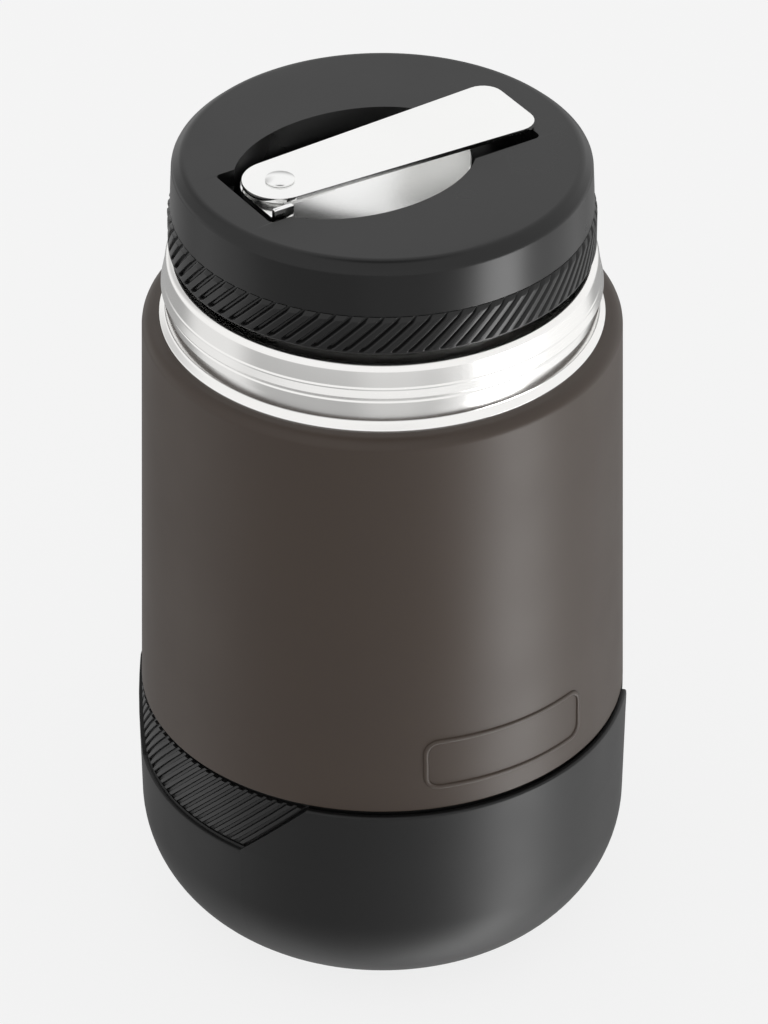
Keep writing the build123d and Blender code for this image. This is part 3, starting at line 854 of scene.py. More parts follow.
@dataclass
class Shell:
    """Painted outer wall with the plain badge on it."""

    edge: float = 49.4
    edge_radius: float = 47.0
    shoulder: float = 132.2
    shoulder_radius: float = 45.2
    shoulder_round: float = 2.2
    wall: float = 0.6
    foot: float = 22.66
    foot_radius: float = 45.45
    mouth: float = 41.0
    badge_angle: float = 31.5
    badge_foot: float = 54.0
    badge_width: float = 35.0
    badge_height: float = 11.3
    badge_line: float = 0.9
    badge_corner: float = 3.0
    badge_relief: float = 0.35
    badge_step: float = 0.8
    badge_sink: float = 0.05
    # Share of the line's half width and of its relief, from its foot to its crest.
    badge_form: tuple[Point, ...] = ((1.0, 0.35), (0.72, 0.82), (0.3, 1.0))

    def radius(self, height: float) -> float:
        """Radius of the painted wall at a height."""
        share = (height - self.edge) / (self.shoulder - self.edge)
        return self.edge_radius + (self.shoulder_radius - self.edge_radius) * share

    def wall_piece(self) -> Piece:
        """Makes the painted wall.

        Returns:
            The wall.
        """
        wall = self.wall
        inner, step, under = self.foot_radius - wall, self.edge + wall, self.shoulder - wall
        line = rounded(
            [
                (self.foot_radius, self.foot), (self.foot_radius, self.edge, 0.1),
                (self.edge_radius, self.edge, 0.3), (self.radius(90), 90),
                (self.shoulder_radius, self.shoulder, self.shoulder_round),
                (self.mouth, self.shoulder, 0.1), (self.mouth, under, 0.1),
                (self.shoulder_radius - wall, under, self.shoulder_round - wall),
                (self.edge_radius - wall, step, 0.1), (inner, step, 0.1), (inner, self.foot),
            ],
            closed=True,
        )
        sheet = Sheet()
        lathe(sheet, line, closed=True)
        return sheet.build("painted_wall", smooth=50)

    def badge(self) -> Piece:
        """Makes the plain rounded frame that lies on the wall.

        Returns:
            The frame.
        """
        half, up = self.badge_line / 2, self.badge_relief
        w, h = self.badge_width / 2 - half, self.badge_height / 2 - half
        corner = self.badge_corner - half
        path = rounded([(w, h, corner), (-w, h, corner), (-w, -h, corner), (w, -h, corner)], closed=True)
        dense: list[Point] = []
        for (x0, y0), (x1, y1) in zip(path, path[1:] + path[:1]):
            parts = max(1, int(math.hypot(x1 - x0, y1 - y0) / self.badge_step))
            dense += [(x0 + (x1 - x0) * k / parts, y0 + (y1 - y0) * k / parts) for k in range(parts)]
        form = [(-half, -self.badge_sink)] + [(-half * x, up * y) for x, y in self.badge_form]
        form += [(-x, y) for x, y in reversed(form)]
        middle = self.badge_foot + self.badge_height / 2
        table = np.empty((len(dense), len(form), 3))
        for i, (x, y) in enumerate(dense):
            along = np.array(dense[(i + 1) % len(dense)]) - np.array(dense[i - 1])
            along /= np.linalg.norm(along)
            for j, (off, out) in enumerate(form):
                px, height = x + along[1] * off, middle + (y - along[0] * off)
                radius = self.radius(height)
                angle = self.badge_angle + math.degrees(math.asin(px / radius))
                table[i, j] = round_jar(angle, radius + out, height)
        sheet = Sheet()
        sheet.grid(table, wrap_rows=True, wrap_columns=True)
        return sheet.build("badge_frame", smooth=60)


@dataclass
class Neck:
    """Bare steel neck with bead, ledge and four-start thread."""

    shoulder: float = 132.2
    ledge: float = 145.75
    top: float = 157.6
    radius: float = 35.5
    wall: float = 0.8
    band_top: float = 40.4
    band: float = 40.95
    bead: float = 41.5
    bead_top: float = 140.45
    bead_foot: float = 139.75
    groove: float = 138.6
    # Height of the hollow's middle and of its lower end, above the flared foot.
    hollow: float = 136.6
    flare: float = 133.75
    foot: float = 42.0
    # How far the wall draws in over and under the hollow, against the band.
    waist: float = 0.22
    thread: Thread = Thread(35.5, 1.0, 151.0)

    def build(self) -> Piece:
        """Makes the neck with its thread.

        Returns:
            The neck.
        """
        band, waist, wall = self.band, self.band - self.waist, self.wall
        base = self.shoulder + 0.02
        line = rounded(
            [
                (self.radius, self.top, 0.2), (self.radius, self.ledge, 0.7),
                (self.band_top, self.ledge, 1.5), (band + 0.05, self.bead_top + 1.0, 0.15),
                (band + 0.2, self.bead_top + 0.65, 0.1),
                (band + 0.21, self.bead_top + 0.4, 0.1), (self.bead, self.bead_foot - 0.35, 0.5),
                (self.bead - 0.02, self.bead_foot - 0.6, 0.2), (waist, self.groove + 0.3, 0.15),
                (waist, self.groove - 0.25, 0.15), (band - 0.02, self.groove - 0.5, 0.3),
                (band - 0.02, self.hollow, 3.0), (waist, self.flare, 0.8),
                (self.foot - 0.05, self.shoulder + 0.6, 0.35), (self.foot, base), (band - wall, base),
                (band - wall, self.groove), (self.band_top - wall, self.ledge - wall, 0.4),
                (self.radius - wall, self.ledge - wall, 0.4), (self.radius - wall, self.top, 0.2),
            ],
            closed=True,
        )
        sheet = Sheet()
        lathe(sheet, line, closed=True)
        self.thread.add(sheet)
        return sheet.build("steel_neck", smooth=50)


@dataclass
class Liner:
    """Steel food vessel with a rolled lip."""

    radius: float = 38.9
    wall: float = 0.6
    floor: float = 12.1
    corner: float = 13.4
    shoulder: float = 130.0
    throat: float = 144.0
    neck: float = 33.5
    seat: float = 157.6
    rim: float = 158.2
    lip: float = 35.5
    bend: float = 6.0
    # How far the lip's two faces lie clear of the neck's end.
    clear: float = 0.02

    def build(self) -> Piece:
        """Makes the vessel.

        Returns:
            The vessel.
        """
        out, low = self.radius + self.wall, self.floor - self.wall
        neck_out = self.neck + self.wall
        line = rounded([
            (0, low), (out, low, self.corner + self.wall), (out, self.shoulder, self.bend),
            (neck_out, self.throat, self.bend), (neck_out, self.seat - self.clear, 0.1),
            (self.lip, self.seat + self.clear, 0.15), (self.lip, self.rim, 0.3), (self.neck, self.rim, 0.5),
            (self.neck, self.throat, self.bend), (self.radius, self.shoulder, self.bend),
            (self.radius, self.floor, self.corner), (0, self.floor),
        ])
        sheet = Sheet()
        lathe(sheet, line, segments=192)
        return sheet.build("food_vessel", smooth=50)


# ---- lid ----


@dataclass
class Recess:
    """Room for the spoon: an oval well, a slot for the tang and one for a finger."""

    angle: float = 32.5
    centre: float = -5.8
    half_length: float = 24.0
    half_width: float = 18.2
    depth: float = 12.8
    floor_round: float = 4.0
    tang_end: float = -30.2
    tang_half: float = 9.8
    tang_depth: float = 3.4
    tang_corner: float = 1.0
    finger_end: float = 28.2
    finger_half: float = 10.75
    finger_depth: float = 5.6
    finger_corner: float = 1.3

    def grown(self, well: float, slot: float) -> "Recess":
        """The same room with a wall added all round.

        Args:
            well: Wall of the well.
            slot: Wall of the slots.

        Returns:
            The outside of the walls.
        """
        sizes = ("half", "depth", "corner")
        added = dict.fromkeys(("half_length", "half_width", "depth", "floor_round"), well)
        added |= {f"{part}_{size}": slot for part in ("tang", "finger") for size in sizes}
        added |= {"tang_end": -slot, "finger_end": slot}
        return replace(self, **{name: getattr(self, name) + more for name, more in added.items()})

    def _oval(self, start: float, end: float, steps: int, inset: float = 0.0) -> list[Point]:
        """Arc of the oval between two of its own angles in degrees.

        Args:
            start: First angle.
            end: Last angle.
            steps: Number of chords.
            inset: How far the arc lies inside the oval, in mm.

        Returns:
            The points, along and across the spoon.
        """
        a, b = self.half_length - inset, self.half_width - inset
        turns = [math.radians(start + (end - start) * i / steps) for i in range(steps + 1)]
        return [(self.centre + a * math.cos(t), b * math.sin(t)) for t in turns]

    def add(self, sheet: Sheet, deck: float, rim: Sequence[Point]) -> None:
        """Adds the deck with its hole, the walls and the floors.

        Args:
            sheet: Where the faces go, in the frame of the spoon.
            deck: Height of the deck.
            rim: Outer edge of the deck.
        """
        tang = 180 - math.degrees(math.asin(self.tang_half / self.half_width))
        finger = math.degrees(math.asin(self.finger_half / self.half_width))
        # Start, end and chords of the well's four arcs, and the depth where each begins.
        arcs = (
            (finger, tang, 44, 0.0), (tang, 360 - tang, 20, self.tang_depth),
            (360 - tang, 360 - finger, 44, 0.0), (-finger, finger, 24, self.finger_depth),
        )
        far, left, near, right = (self._oval(*span) for *span, _ in arcs)
        tang_line = rounded([
            far[-1], (self.tang_end, self.tang_half, self.tang_corner),
            (self.tang_end, -self.tang_half, self.tang_corner), near[0],
        ])
        finger_line = rounded([
            near[-1], (self.finger_end, -self.finger_half, self.finger_corner),
            (self.finger_end, self.finger_half, self.finger_corner), far[0],
        ])
        sheet.fill([rim, far[:-1] + tang_line[:-1] + near[:-1] + finger_line[:-1]], deck)
        bottom = deck - self.depth
        bend = self.floor_round
        quarter = arc((bend, bottom + bend), bend, 180, 270, 6)
        for *span, top in arcs:
            rows = [[(x, y, deck - top) for x, y in self._oval(*span)]]
            rows += [[(x, y, height) for x, y in self._oval(*span, inset)] for inset, height in quarter]
            sheet.grid(np.array(rows))
        sheet.fill([[p for *span, _ in arcs for p in self._oval(*span, bend)[:-1]]], bottom)
        for line, inner, depth in (
            (tang_line, left[::-1], self.tang_depth), (finger_line, right[::-1], self.finger_depth)
        ):
            sheet.wall(line, deck - depth, deck, closed=False)
            sheet.fill([line[:-1] + inner[:-1]], deck - depth)


@dataclass
class Lid:
    """Screw lid: top moulding, ribbed band, threaded inner moulding, foam and sealing ring."""

    foot: float = 147.9
    cover_foot: float = 155.6
    deck: float = 166.4
    deck_thickness: float = 2.2
    foot_radius: float = 39.5
    top_radius: float = 39.1
    edge_round: float = 2.0
    edge_rise: float = 1.75
    edge_depth: float = 1.95
    wall_taper: float = 0.2
    wall_height: float = 5.2
    flat_inset: float = 4.2
    # Walls round the spoon's well and round its two slots.
    well_wall: float = 1.2
    slot_wall: float = 1.0
    bore: float = 38.1
    ring_radius: float = 40.0
    ribs: int = 84
    rib_level: float = 149.4
    groove: float = 0.75
    skirt: float = 36.9
    skirt_wall: float = 1.1
    flange: Point = (160.0, 161.5)
    plug: float = 33.1
    plug_wall: float = 1.5
    plug_foot: float = 140.0
    plug_floor: float = 1.6
    seal_radii: Point = (33.4, 35.9)
    seal_levels: Point = (158.5, 159.7)
    # Distance from the ring's edge, height over its foot and round, along its ridged lower face.
    seal_ridge: tuple[Corner, ...] = ((0.0, 0.25, 0.2), (0.55, 0.0, 0.2), (0.9, 0.3, 0.15))
    seal_round: float = 0.3
    # Share of a rib's pitch and of the groove's depth there: a gentle upper flank and a steep lower one.
    rib_form: tuple[Point, ...] = (
        (0.0, 1.0), (0.09, 1.0), (0.18, 0.62), (0.28, 0.22), (0.35, 0.04), (0.4, 0.0),
        (0.6, 0.0), (0.8, 0.0), (0.85, 0.12), (0.9, 0.7), (0.94, 1.0),
    )
    recess: Recess = field(default_factory=Recess)

    def cover(self) -> Piece:
        """Makes the top moulding with the spoon's recess.

        Returns:
            The moulding.
        """
        sheet = Sheet()
        under = self.deck - self.deck_thickness
        line = rounded([
            (self.bore, self.cover_foot), (self.foot_radius, self.cover_foot, 0.25),
            (self.foot_radius - self.wall_taper, self.cover_foot + self.wall_height),
            (self.top_radius, self.deck - self.edge_rise, 1.3),
            (self.top_radius - self.edge_depth, self.deck, self.edge_round),
            (self.top_radius - self.flat_inset, self.deck),
        ])[:-1]
        lathe(sheet, [(self.bore, under)] + line)
        rim, inner_rim = (
            [round_jar(360 * i / FACETS, radius, 0)[:2] for i in range(FACETS)]
            for radius in (line[-1][0], self.bore)
        )
        self.recess.add(sheet, self.deck, rim)
        self.recess.grown(self.well_wall, self.slot_wall).add(sheet, under, inner_rim)
        return sheet.build("lid_cover_moulding", bevel=0.32, turn=self.recess.angle, smooth=35)

    def band(self) -> Piece:
        """Makes the ribbed band.

        Returns:
            The band.
        """
        top, outer = self.cover_foot, self.ring_radius
        plain = self.foot + 0.45
        # Radius, height and share of the grooves' depth.
        section = [
            (self.bore, self.foot, 0.0), (outer - 0.35, self.foot, 0.0), (outer - 0.1, self.foot + 0.1, 0.0),
            (outer, self.foot + 0.3, 0.0), (outer, plain, 0.0), (outer, plain + 0.2, 0.55),
        ]
        section += [(outer, plain + rise, 1.0) for rise in (0.5, 1.6, 2.7, 3.7, 4.8)]
        section += [
            (outer, top - 0.95, 1.0), (outer - 0.03, top - 0.8, 1.0), (outer - 0.3, top - 0.3, 1.0),
            (outer - 0.52, top, 1.0), (self.bore, top, 0.0),
        ]
        rows = []
        for radius, height, depth in section:
            twist = math.degrees((height - self.rib_level) / outer)
            row = []
            for k in range(self.ribs):
                for share, cut in self.rib_form:
                    r = min(radius, outer - self.groove * cut * depth) if depth else radius
                    row.append(round_jar((k + share) * 360 / self.ribs + twist, r, height))
            rows.append(row)
        sheet = Sheet()
        sheet.grid(np.array(rows), wrap_rows=True, wrap_columns=True)
        return sheet.build("lid_ribbed_band", smooth=45)

    def inner(self, thread: Thread) -> Piece:
        """Makes the inner moulding.

        Args:
            thread: The neck's thread, which it takes.

        Returns:
            The moulding.
        """
        outer = self.skirt + self.skirt_wall
        low, high = self.flange
        foot, floor = self.foot + 0.3, self.plug_foot + self.plug_floor
        top = self.deck - self.deck_thickness - 0.05
        line = rounded([
            (0, self.plug_foot), (self.plug, self.plug_foot, 1.6), (self.plug, low, 0.3),
            (self.skirt, low, 0.3), (self.skirt, foot, 0.25), (outer, foot, 0.25), (outer, top, 0.2),
            (self.skirt, top, 0.2), (self.skirt, high, 0.3), (self.plug - self.plug_wall, high, 0.2),
            (self.plug - self.plug_wall, floor, 0.5), (0, floor),
        ])
        sheet = Sheet()
        lathe(sheet, line, segments=224)
        thread.inside(self.skirt).add(sheet)
        return sheet.build("lid_inner_moulding", smooth=45)

    def seal(self) -> Piece:
        """Makes the sealing ring, its lower face ridged.

        Returns:
            The ring.
        """
        (inner, outer), (low, high) = self.seal_radii, self.seal_levels
        corners = [(inner + x, low + z, bend) for x, z, bend in self.seal_ridge]
        corners += [(outer - x, low + z, bend) for x, z, bend in reversed(self.seal_ridge)]
        corners += [(outer, high, self.seal_round), (inner, high, self.seal_round)]
        line = rounded(corners, closed=True)
        sheet = Sheet()
        lathe(sheet, line, closed=True, segments=160)
        return sheet.build("sealing_ring", smooth=50)


# ---- spoon ----


@dataclass
class Spoon:
    """Folding spoon, drawn in its own frame: along it, across it and up."""

    angle: float = 32.5
    deck: float = 166.4
    pivot: float = -22.2
    length: float = 51.9
    end_radius: float = 6.85
    end_shift: float = 0.35
    tip_near: float = -9.1
    tip_width: float = 18.6
    tip_corner: float = 4.0
    raise_height: float = 0.6
    thickness: float = 0.9
    sink: float = 0.3
    sheet: float = 1.0
    stop_start: float = -28.8
    stop_end: float = -13.0
    stop_half: float = 6.6
    stop_near: float = 4.6
    tab_length: float = 4.1
    tab_inner: float = 7.95
    tab_wall: float = 0.95
    tab_rise: float = 2.1
    rivet: float = 2.0
    head: float = 2.75
    head_height: float = 0.9
    head_side: float = 0.34
    washer: float = 4.2
    bowl_centre: float = -5.8
    bowl_length: float = 22.9
    bowl_width: float = 17.1
    end_depth: float = 0.8
    side_depth: float = 5.4
    dish: float = 7.5
    rings: int = 44
    columns: int = 160
    # Length over which the bowl's end rises to carry the stop plate, and the gap that is left under it.
    tang_blend: float = 3.0
    tang_gap: float = 0.02
    # Room round the rivet in the handle and in the other pieces, and between pieces that lie on each other.
    handle_room: float = 0.06
    room: float = 0.05
    # How far the tab's root lies inside and outside the plate's edge.
    tab_root: float = 1.0
    # Thickness of the rivet's lower head, inset of its dome and gap under its upper head.
    foot_height: float = 0.7
    dome_inset: float = 0.06
    head_gap: float = 0.04
    rim_inset: float = 0.15
    slope_step: float = 0.05
    # Share of the way through the sheet and how far the rim bulges out there.
    rim_form: tuple[Point, ...] = ((0.2, 0.1), (0.5, 0.15), (0.8, 0.1))
    # Distance from the tab's end and how far its crest draws in there.
    tab_end: tuple[Point, ...] = ((0.0, 0.36), (0.09, 0.144), (0.3, 0.0))

    def _plate(self, sheet: Sheet, outline: list[Point], hole: list[Point], low: float, high: float) -> None:
        """Adds an upright-walled plate with a hole.

        Args:
            sheet: Where the faces go.
            outline: Outer edge.
            hole: Edge of the hole.
            low: Height of the lower face.
            high: Height of the upper face.
        """
        sheet.fill([outline, hole], high)
        sheet.fill([outline, hole], low)
        sheet.wall(outline, low, high)
        sheet.wall(hole, low, high)

    def _circle(self, radius: float, steps: int = 48) -> list[Point]:
        """Circle round the pivot."""
        return arc((self.pivot, 0), radius, 0, 360, steps)[:-1]

    def handle(self) -> Piece:
        """Makes the handle, left bare.

        Returns:
            The handle.
        """
        half = self.tip_width / 2
        tip = self.pivot + self.length
        far = math.degrees(math.asin((half - self.end_shift - self.end_radius) / self.length))
        near = math.degrees(math.asin((self.end_shift - self.tip_near - self.end_radius) / self.length))
        end = arc((self.pivot, self.end_shift), self.end_radius, 90 + far, 270 - near, 48)
        corners = rounded([
            end[-1], (tip, self.tip_near, self.tip_corner), (tip, half, self.tip_corner), end[0],
        ])
        outline = end[:-1] + corners[:-1]
        low = self.deck + self.raise_height
        sheet = Sheet()
        self._plate(sheet, outline, self._circle(self.rivet + self.handle_room), low, low + self.thickness)
        return sheet.build("spoon_handle_blade", bevel=0.14, turn=self.angle, smooth=35)

    def _height(self, s: float, n: float) -> float:
        """Height of the bowl's upper face: a dish whose rim is high at its ends and low at its sides.

        Args:
            s: Place along the spoon.
            n: Place across it.

        Returns:
            The height in mm.
        """
        sag = self.side_depth - self.end_depth
        rim = self.deck - self.end_depth - sag * (n / self.bowl_width) ** 2
        share = ((s - self.bowl_centre) / self.bowl_length) ** 2 + (n / self.bowl_width) ** 2
        dish = rim - self.dish * max(0.0, 1 - share)
        seat = self.deck - self.sink - self.sheet - self.tang_gap
        if s > self.stop_end:
            return dish
        end = min(1.0, max(0.0, (self.pivot - s) / self.tang_blend))
        return dish + (min(seat, rim) - dish) * end * end * (3 - 2 * end)

    def bowl(self) -> Piece:
        """Makes the bowl with a rounded rim.

        Returns:
            The bowl.
        """
        turns = np.linspace(0, 2 * math.pi, self.columns, endpoint=False)
        length, width = self.bowl_length - self.rim_inset, self.bowl_width - self.rim_inset
        step = self.slope_step
        top, under = (np.empty((self.rings + 1, self.columns, 3)) for _ in range(2))
        for i in range(self.rings + 1):
            share = math.sin(math.pi / 2 * (i / self.rings))
            for j, turn in enumerate(turns):
                s = self.bowl_centre + length * share * math.cos(turn)
                n = width * share * math.sin(turn)
                top[i, j] = (s, n, self._height(s, n))
                ds = (self._height(s + step, n) - self._height(s - step, n)) / (2 * step)
                dn = (self._height(s, n + step) - self._height(s, n - step)) / (2 * step)
                normal = np.array([-ds, -dn, 1.0])
                under[i, j] = top[i, j] - normal / np.linalg.norm(normal) * self.sheet
        rim = []
        for share, out in self.rim_form:
            middle = top[-1] * (1 - share) + under[-1] * share
            away = middle[:, :2] - np.array([self.bowl_centre, 0.0])
            middle[:, :2] += away / np.linalg.norm(away, axis=1)[:, None] * out
            rim.append(middle)
        sheet = Sheet()
        sheet.grid(np.concatenate([top, np.array(rim), under[::-1]]), wrap_columns=True)
        return sheet.build("spoon_bowl_pressing", turn=self.angle, smooth=60)

    def stop(self) -> Piece:
        """Makes the stop plate with its upturned tab.

        Returns:
            The plate.
        """
        start, half, near = self.stop_start, self.stop_half, self.stop_near
        edge, root, end = -half - self.tab_root, -half + self.tab_root, start + self.tab_length
        top = self.deck - self.sink
        low = top - self.sheet
        sheet = Sheet()
        outline = rounded(
            [
                (self.stop_end, half, 0.6), (start, half, 5.5), (start, edge, 0.2), (end, edge, 0.2),
                (end + 0.3, -near, 0.25), (self.stop_end, -near, 0.6),
            ],
            closed=True,
        )
        self._plate(sheet, outline, self._circle(self.rivet + self.room), low, top)
        inner, outer, crest = self.tab_inner, self.tab_inner + self.tab_wall, top + self.tab_rise
        section = rounded([
            (root, top - 0.01), (-inner, top - 0.01, 0.35), (-inner, crest, 0.42),
            (-outer, crest, 0.42), (-outer, low + 0.01, 1.2), (root, low + 0.01),
        ])
        rows = [*self.tab_end, *((self.tab_length - place, drop) for place, drop in self.tab_end[::-1])]
        table = np.array([
            [(start + place, n, min(z, crest - drop) if z > top else z) for n, z in section]
            for place, drop in rows
        ])
        sheet.grid(table, wrap_columns=True)
        sheet.cap(table[0])
        sheet.cap(table[-1])
        return sheet.build("spoon_stop_plate", bevel=0.1, turn=self.angle, smooth=35)

    def pin(self) -> Piece:
        """Makes the domed rivet, its head in a shallow ring.

        Returns:
            The rivet.
        """
        head_foot = self.deck + self.raise_height + self.thickness + self.head_gap
        rise = self.head_height - self.head_side
        dome = (self.head ** 2 + rise ** 2) / (2 * rise)
        start = math.degrees(math.acos((self.head - self.dome_inset) / dome))
        cap = arc((0, head_foot + self.head_height - dome), dome, start, 90, 10)
        cap[-1] = (0.0, cap[-1][1])
        foot = self.deck - self.sink - self.sheet - self.room
        base = foot - self.foot_height
        line = rounded([
            (0, base), (self.head, base, 0.25), (self.head, foot, 0.1), (self.rivet, foot),
            (self.rivet, head_foot), (self.head, head_foot, 0.05),
            (self.head, head_foot + self.head_side - 0.02, 0.05), cap[0],
        ]) + cap[1:]
        sheet = Sheet()
        lathe(sheet, line, segments=64)
        sheet.points = [(x + self.pivot, y, z) for x, y, z in sheet.points]
        return sheet.build("pivot_rivet_domed", turn=self.angle, smooth=50)

    def ring(self) -> Piece:
        """Makes the washer.

        Returns:
            The washer.
        """
        low, high = self.deck - self.sink, self.deck + self.raise_height - self.room
        outline, hole = self._circle(self.washer, 64), self._circle(self.rivet + self.room, 64)
        sheet = Sheet()
        self._plate(sheet, outline, hole, low, high)
        return sheet.build("pivot_spacer", bevel=0.08, turn=self.angle, smooth=35)


# ---- stage ----


@dataclass
class Studio:
    """Pale floor, even light and the camera."""

    camera_place: Spot = (0.00032, -0.975, 0.7537)
    camera_pitch: float = 55.6
    lens: float = 216.2
    sensor: float = 36.0
    clip: Point = (0.05, 50.0)
    white: str = "#F5F5F5"
    # The floor lies just under the foot, so that the two faces don't share a plane.
    floor_half: float = 6.0
    floor_height: float = -0.0001
    floor_paint: str = "#F4F4F4"
    # Share of the floor's own paleness in what the camera sees of it; the rest keeps the shadow.
    floor_glow: float = 0.9
    # Level of the sky that lies under all the boxes.
    base: float = 0.42
    # Azimuth, half width at full strength, half width at the end (degrees) and strength of each soft box.
    boxes: tuple[tuple[float, float, float, float], ...] = (
        (0.0, 90.0, 130.0, 0.07),
        (66.0, 7.0, 19.0, 5.9),
        (52.0, 4.0, 34.0, 0.4),
        (100.0, 26.0, 42.0, 0.62),
        (6.0, 8.0, 24.0, 0.16),
        (-94.0, 12.0, 30.0, 0.38),
    )
    # The same for soft rings, which lie at an elevation.
    rings: tuple[tuple[float, float, float, float], ...] = ((-90.0, 16.0, 40.0, 0.35),)
    # Azimuth, elevation, half widths at full depth and at the end (degrees) and share of each dark patch.
    clouds: tuple[tuple[float, float, float, float, float], ...] = (
        (-138.0, 29.0, 4.0, 30.0, -0.4),
        (175.0, -6.0, 2.0, 34.0, -0.55),
    )
    # Elevations between which the surroundings turn to a level, and that level.
    layers: tuple[tuple[float, float, float], ...] = ((-19.0, -6.0, 1.02), (70.0, 82.0, 0.12))

    def floor(self) -> None:
        """Makes the floor, which shows pale and keeps the soft contact shadow."""
        mesh = bpy.data.meshes.new("floor")
        half, low = self.floor_half, self.floor_height
        corners = [(-half, -half, low), (half, -half, low), (half, half, low), (-half, half, low)]
        mesh.from_pydata(corners, [], [(0, 1, 2, 3)])
        obj = bpy.data.objects.new("floor", mesh)
        bpy.context.scene.collection.objects.link(obj)
        made = bpy.data.materials.new("painted_floor_pale")
        made.use_nodes = True
        tree = made.node_tree
        tree.nodes.clear()
        paint = add_node(tree, "BsdfDiffuse", {"Color": linear(self.floor_paint)})
        glow = add_node(tree, "Emission", {"Color": linear(self.white), "Strength": 1.0})
        rays = add_node(tree, "LightPath")
        share = add_node(
            tree, "Math", {0: rays.outputs["Is Camera Ray"], 1: self.floor_glow}, operation="MULTIPLY"
        )
        seen = add_node(tree, "MixShader", {0: share.outputs[0], 1: paint.outputs[0], 2: glow.outputs[0]})
        # Glossy rays go through, so metal and plastic show the soft surroundings all round.
        clear = add_node(tree, "BsdfTransparent")
        mixed = add_node(
            tree, "MixShader",
            {0: rays.outputs["Is Glossy Ray"], 1: seen.outputs[0], 2: clear.outputs[0]},
        )
        add_node(tree, "OutputMaterial", {"Surface": mixed.outputs[0]})
        made.cycles.emission_sampling = "NONE"
        mesh.materials.append(made)

    def _band(
        self, tree: Tree, angle: Socket, centre: float, inner: float, outer: float, strength: float
    ) -> Socket:
        """Soft-edged band of light.

        Args:
            tree: Where its nodes go.
            angle: The angle that it depends on, in radians.
            centre: Middle of the band, in degrees.
            inner: Half width at full strength, in degrees.
            outer: Half width where it ends, in degrees.
            strength: Its strength.

        Returns:
            The band's strength at the angle.
        """
        off = add_node(tree, "Math", {0: angle, 1: math.radians(centre)}, operation="SUBTRACT")
        away = add_node(tree, "Math", {0: off.outputs[0]}, operation="ABSOLUTE")
        soft = add_node(
            tree, "MapRange",
            {
                "Value": away.outputs[0], "From Min": math.radians(inner), "From Max": math.radians(outer),
                "To Min": strength, "To Max": 0.0,
            },
            interpolation_type="SMOOTHSTEP",
        )
        return soft.outputs["Result"]

    def world(self) -> None:
        """Makes the surroundings: pale to the camera, a soft sky with upright soft boxes to the rest."""
        world = bpy.data.worlds.new("studio")
        bpy.context.scene.world = world
        world.use_nodes = True
        world.cycles.sampling_method = "NONE"
        tree = world.node_tree
        tree.nodes.clear()
        place = add_node(tree, "TexCoord").outputs["Generated"]
        parts = add_node(tree, "SeparateXYZ", {"Vector": place})
        back = add_node(tree, "Math", {0: parts.outputs["Y"], 1: -1.0}, operation="MULTIPLY")
        turn = add_node(tree, "Math", {0: parts.outputs["X"], 1: back.outputs[0]}, operation="ARCTAN2")
        tilt = add_node(tree, "Math", {0: parts.outputs["Z"]}, operation="ARCSINE").outputs[0]
        lights = [self._band(tree, turn.outputs[0], *box) for box in self.boxes] + [self.base]
        lights += [self._band(tree, tilt, *ring) for ring in self.rings]
        level = lights[0]
        for light in lights[1:]:
            level = add_node(tree, "Math", {0: level, 1: light}, operation="ADD").outputs[0]
        for start, end, goal in self.layers:
            share = add_node(
                tree, "MapRange",
                {
                    "Value": tilt, "From Min": math.radians(start), "From Max": math.radians(end),
                    "To Min": 0.0, "To Max": 1.0,
                },
                interpolation_type="SMOOTHSTEP",
            )
            level = add_node(
                tree, "Mix", {0: share.outputs["Result"], 2: level, 3: goal}, data_type="FLOAT"
            ).outputs[0]
        for azimuth, elevation, inner, outer, strength in self.clouds:
            aim = round_jar(azimuth, math.cos(math.radians(elevation)), math.sin(math.radians(elevation)))
            dot = add_node(tree, "VectorMath", {0: place, 1: aim}, operation="DOT_PRODUCT")
            off = add_node(tree, "Math", {0: dot.outputs["Value"]}, operation="ARCCOSINE")
            part = self._band(tree, off.outputs[0], 0.0, inner, outer, strength)
            kept = add_node(tree, "Math", {0: part, 1: 1.0}, operation="ADD").outputs[0]
            level = add_node(tree, "Math", {0: level, 1: kept}, operation="MULTIPLY").outputs[0]
        rays = add_node(tree, "LightPath")
        even = add_node(tree, "Background", {"Color": (1.0, 1.0, 1.0, 1.0), "Strength": level})
        pale = add_node(tree, "Background", {"Color": linear(self.white), "Strength": 1.0})
        mixed = add_node(
            tree, "MixShader", {0: rays.outputs["Is Camera Ray"], 1: even.outputs[0], 2: pale.outputs[0]}
        )
        add_node(tree, "OutputWorld", {"Surface": mixed.outputs[0]})

    def camera(self) -> None:
        """Adds the camera."""
        data = bpy.data.cameras.new("camera")
        data.lens = self.lens
        data.sensor_width = self.sensor
        data.clip_start, data.clip_end = self.clip
        obj = bpy.data.objects.new("camera", data)
        obj.location = self.camera_place
        obj.rotation_euler = (math.radians(self.camera_pitch), 0, 0)
        bpy.context.scene.collection.objects.link(obj)
        bpy.context.scene.camera = obj

    def build(self) -> None:
        """Sets the whole stage."""
        self.floor()
        self.world()
        self.camera()
        bpy.context.scene.view_settings.view_transform = "Standard"


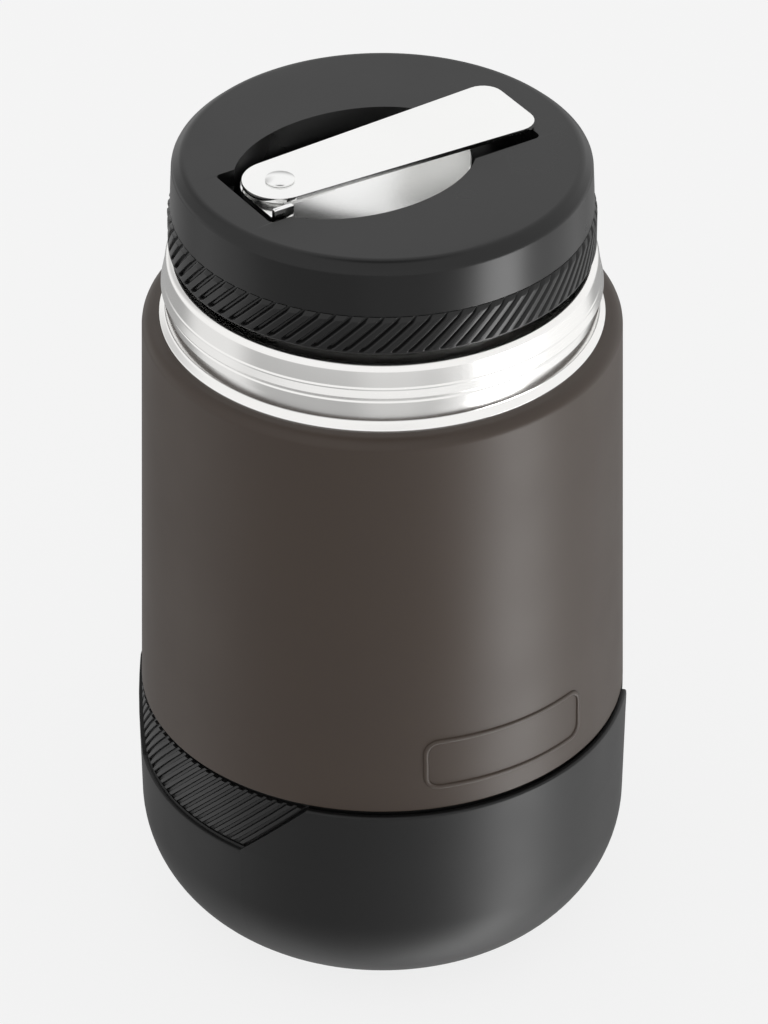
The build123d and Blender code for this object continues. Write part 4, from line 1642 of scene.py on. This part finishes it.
def main() -> None:
    """Builds and dresses every piece, then the stage."""
    wardrobe = Wardrobe()
    boot, shell, neck, liner, lid, spoon = Boot(), Shell(), Neck(), Liner(), Lid(), Spoon()
    wear = wardrobe.piece
    wear(boot.build(), MOULDED_RUBBER, Body.JAR, Slot.BOOT, "base_boot")
    wear(boot.grip.build("grip_left", 0), RIBBED_RUBBER, Body.JAR, Slot.GRIP, "boot_grip_left")
    wear(boot.grip.build("grip_right", 180), RIBBED_RUBBER, Body.JAR, Slot.GRIP, "boot_grip_right")
    wear(shell.wall_piece(), POWDER_COAT, Body.JAR, Slot.PAINT, "outer_shell")
    wear(shell.badge(), POWDER_COAT, Body.JAR, Slot.PAINT, "blank_badge")
    wear(neck.build(), TURNED_STEEL, Body.JAR, Slot.STEEL, "neck_collar")
    wear(liner.build(), TURNED_STEEL, Body.JAR, Slot.STEEL, "inner_liner")
    wear(lid.cover(), MOULDED_PLASTIC, Body.LID, Slot.PLASTIC, "lid_cover")
    wear(lid.band(), MOULDED_PLASTIC, Body.LID, Slot.PLASTIC, "lid_grip_ring")
    wear(lid.inner(neck.thread), MOULDED_PLASTIC, Body.LID, Slot.PLASTIC, "lid_body")
    wear(lid.seal(), SILICONE, Body.SEAL, Slot.SILICONE, "lid_gasket")
    wear(spoon.bowl(), BOWL_STEEL, Body.SPOON, Slot.SPOON, "spoon_bowl")
    wear(spoon.stop(), SPOON_STEEL, Body.SPOON, Slot.SPOON, "stop_plate")
    wear(spoon.pin(), SPOON_STEEL, Body.SPOON, Slot.SPOON, "pivot_rivet")
    wear(spoon.ring(), SPOON_STEEL, Body.SPOON, Slot.SPOON, "pivot_washer")
    wear(spoon.handle(), SPOON_STEEL, Body.HANDLE, Slot.SPOON, "spoon_handle")
    for node, finish in (
        ("shell_base", TURNED_STEEL), ("vacuum_seal", SOLDER), ("getter_pellet", SINTERED),
        ("getter_clip", TURNED_STEEL), ("lid_foam", FOAM),
    ):
        wardrobe.carried(node, finish)
    Studio().build()


if __name__ == "__main__":
    main()
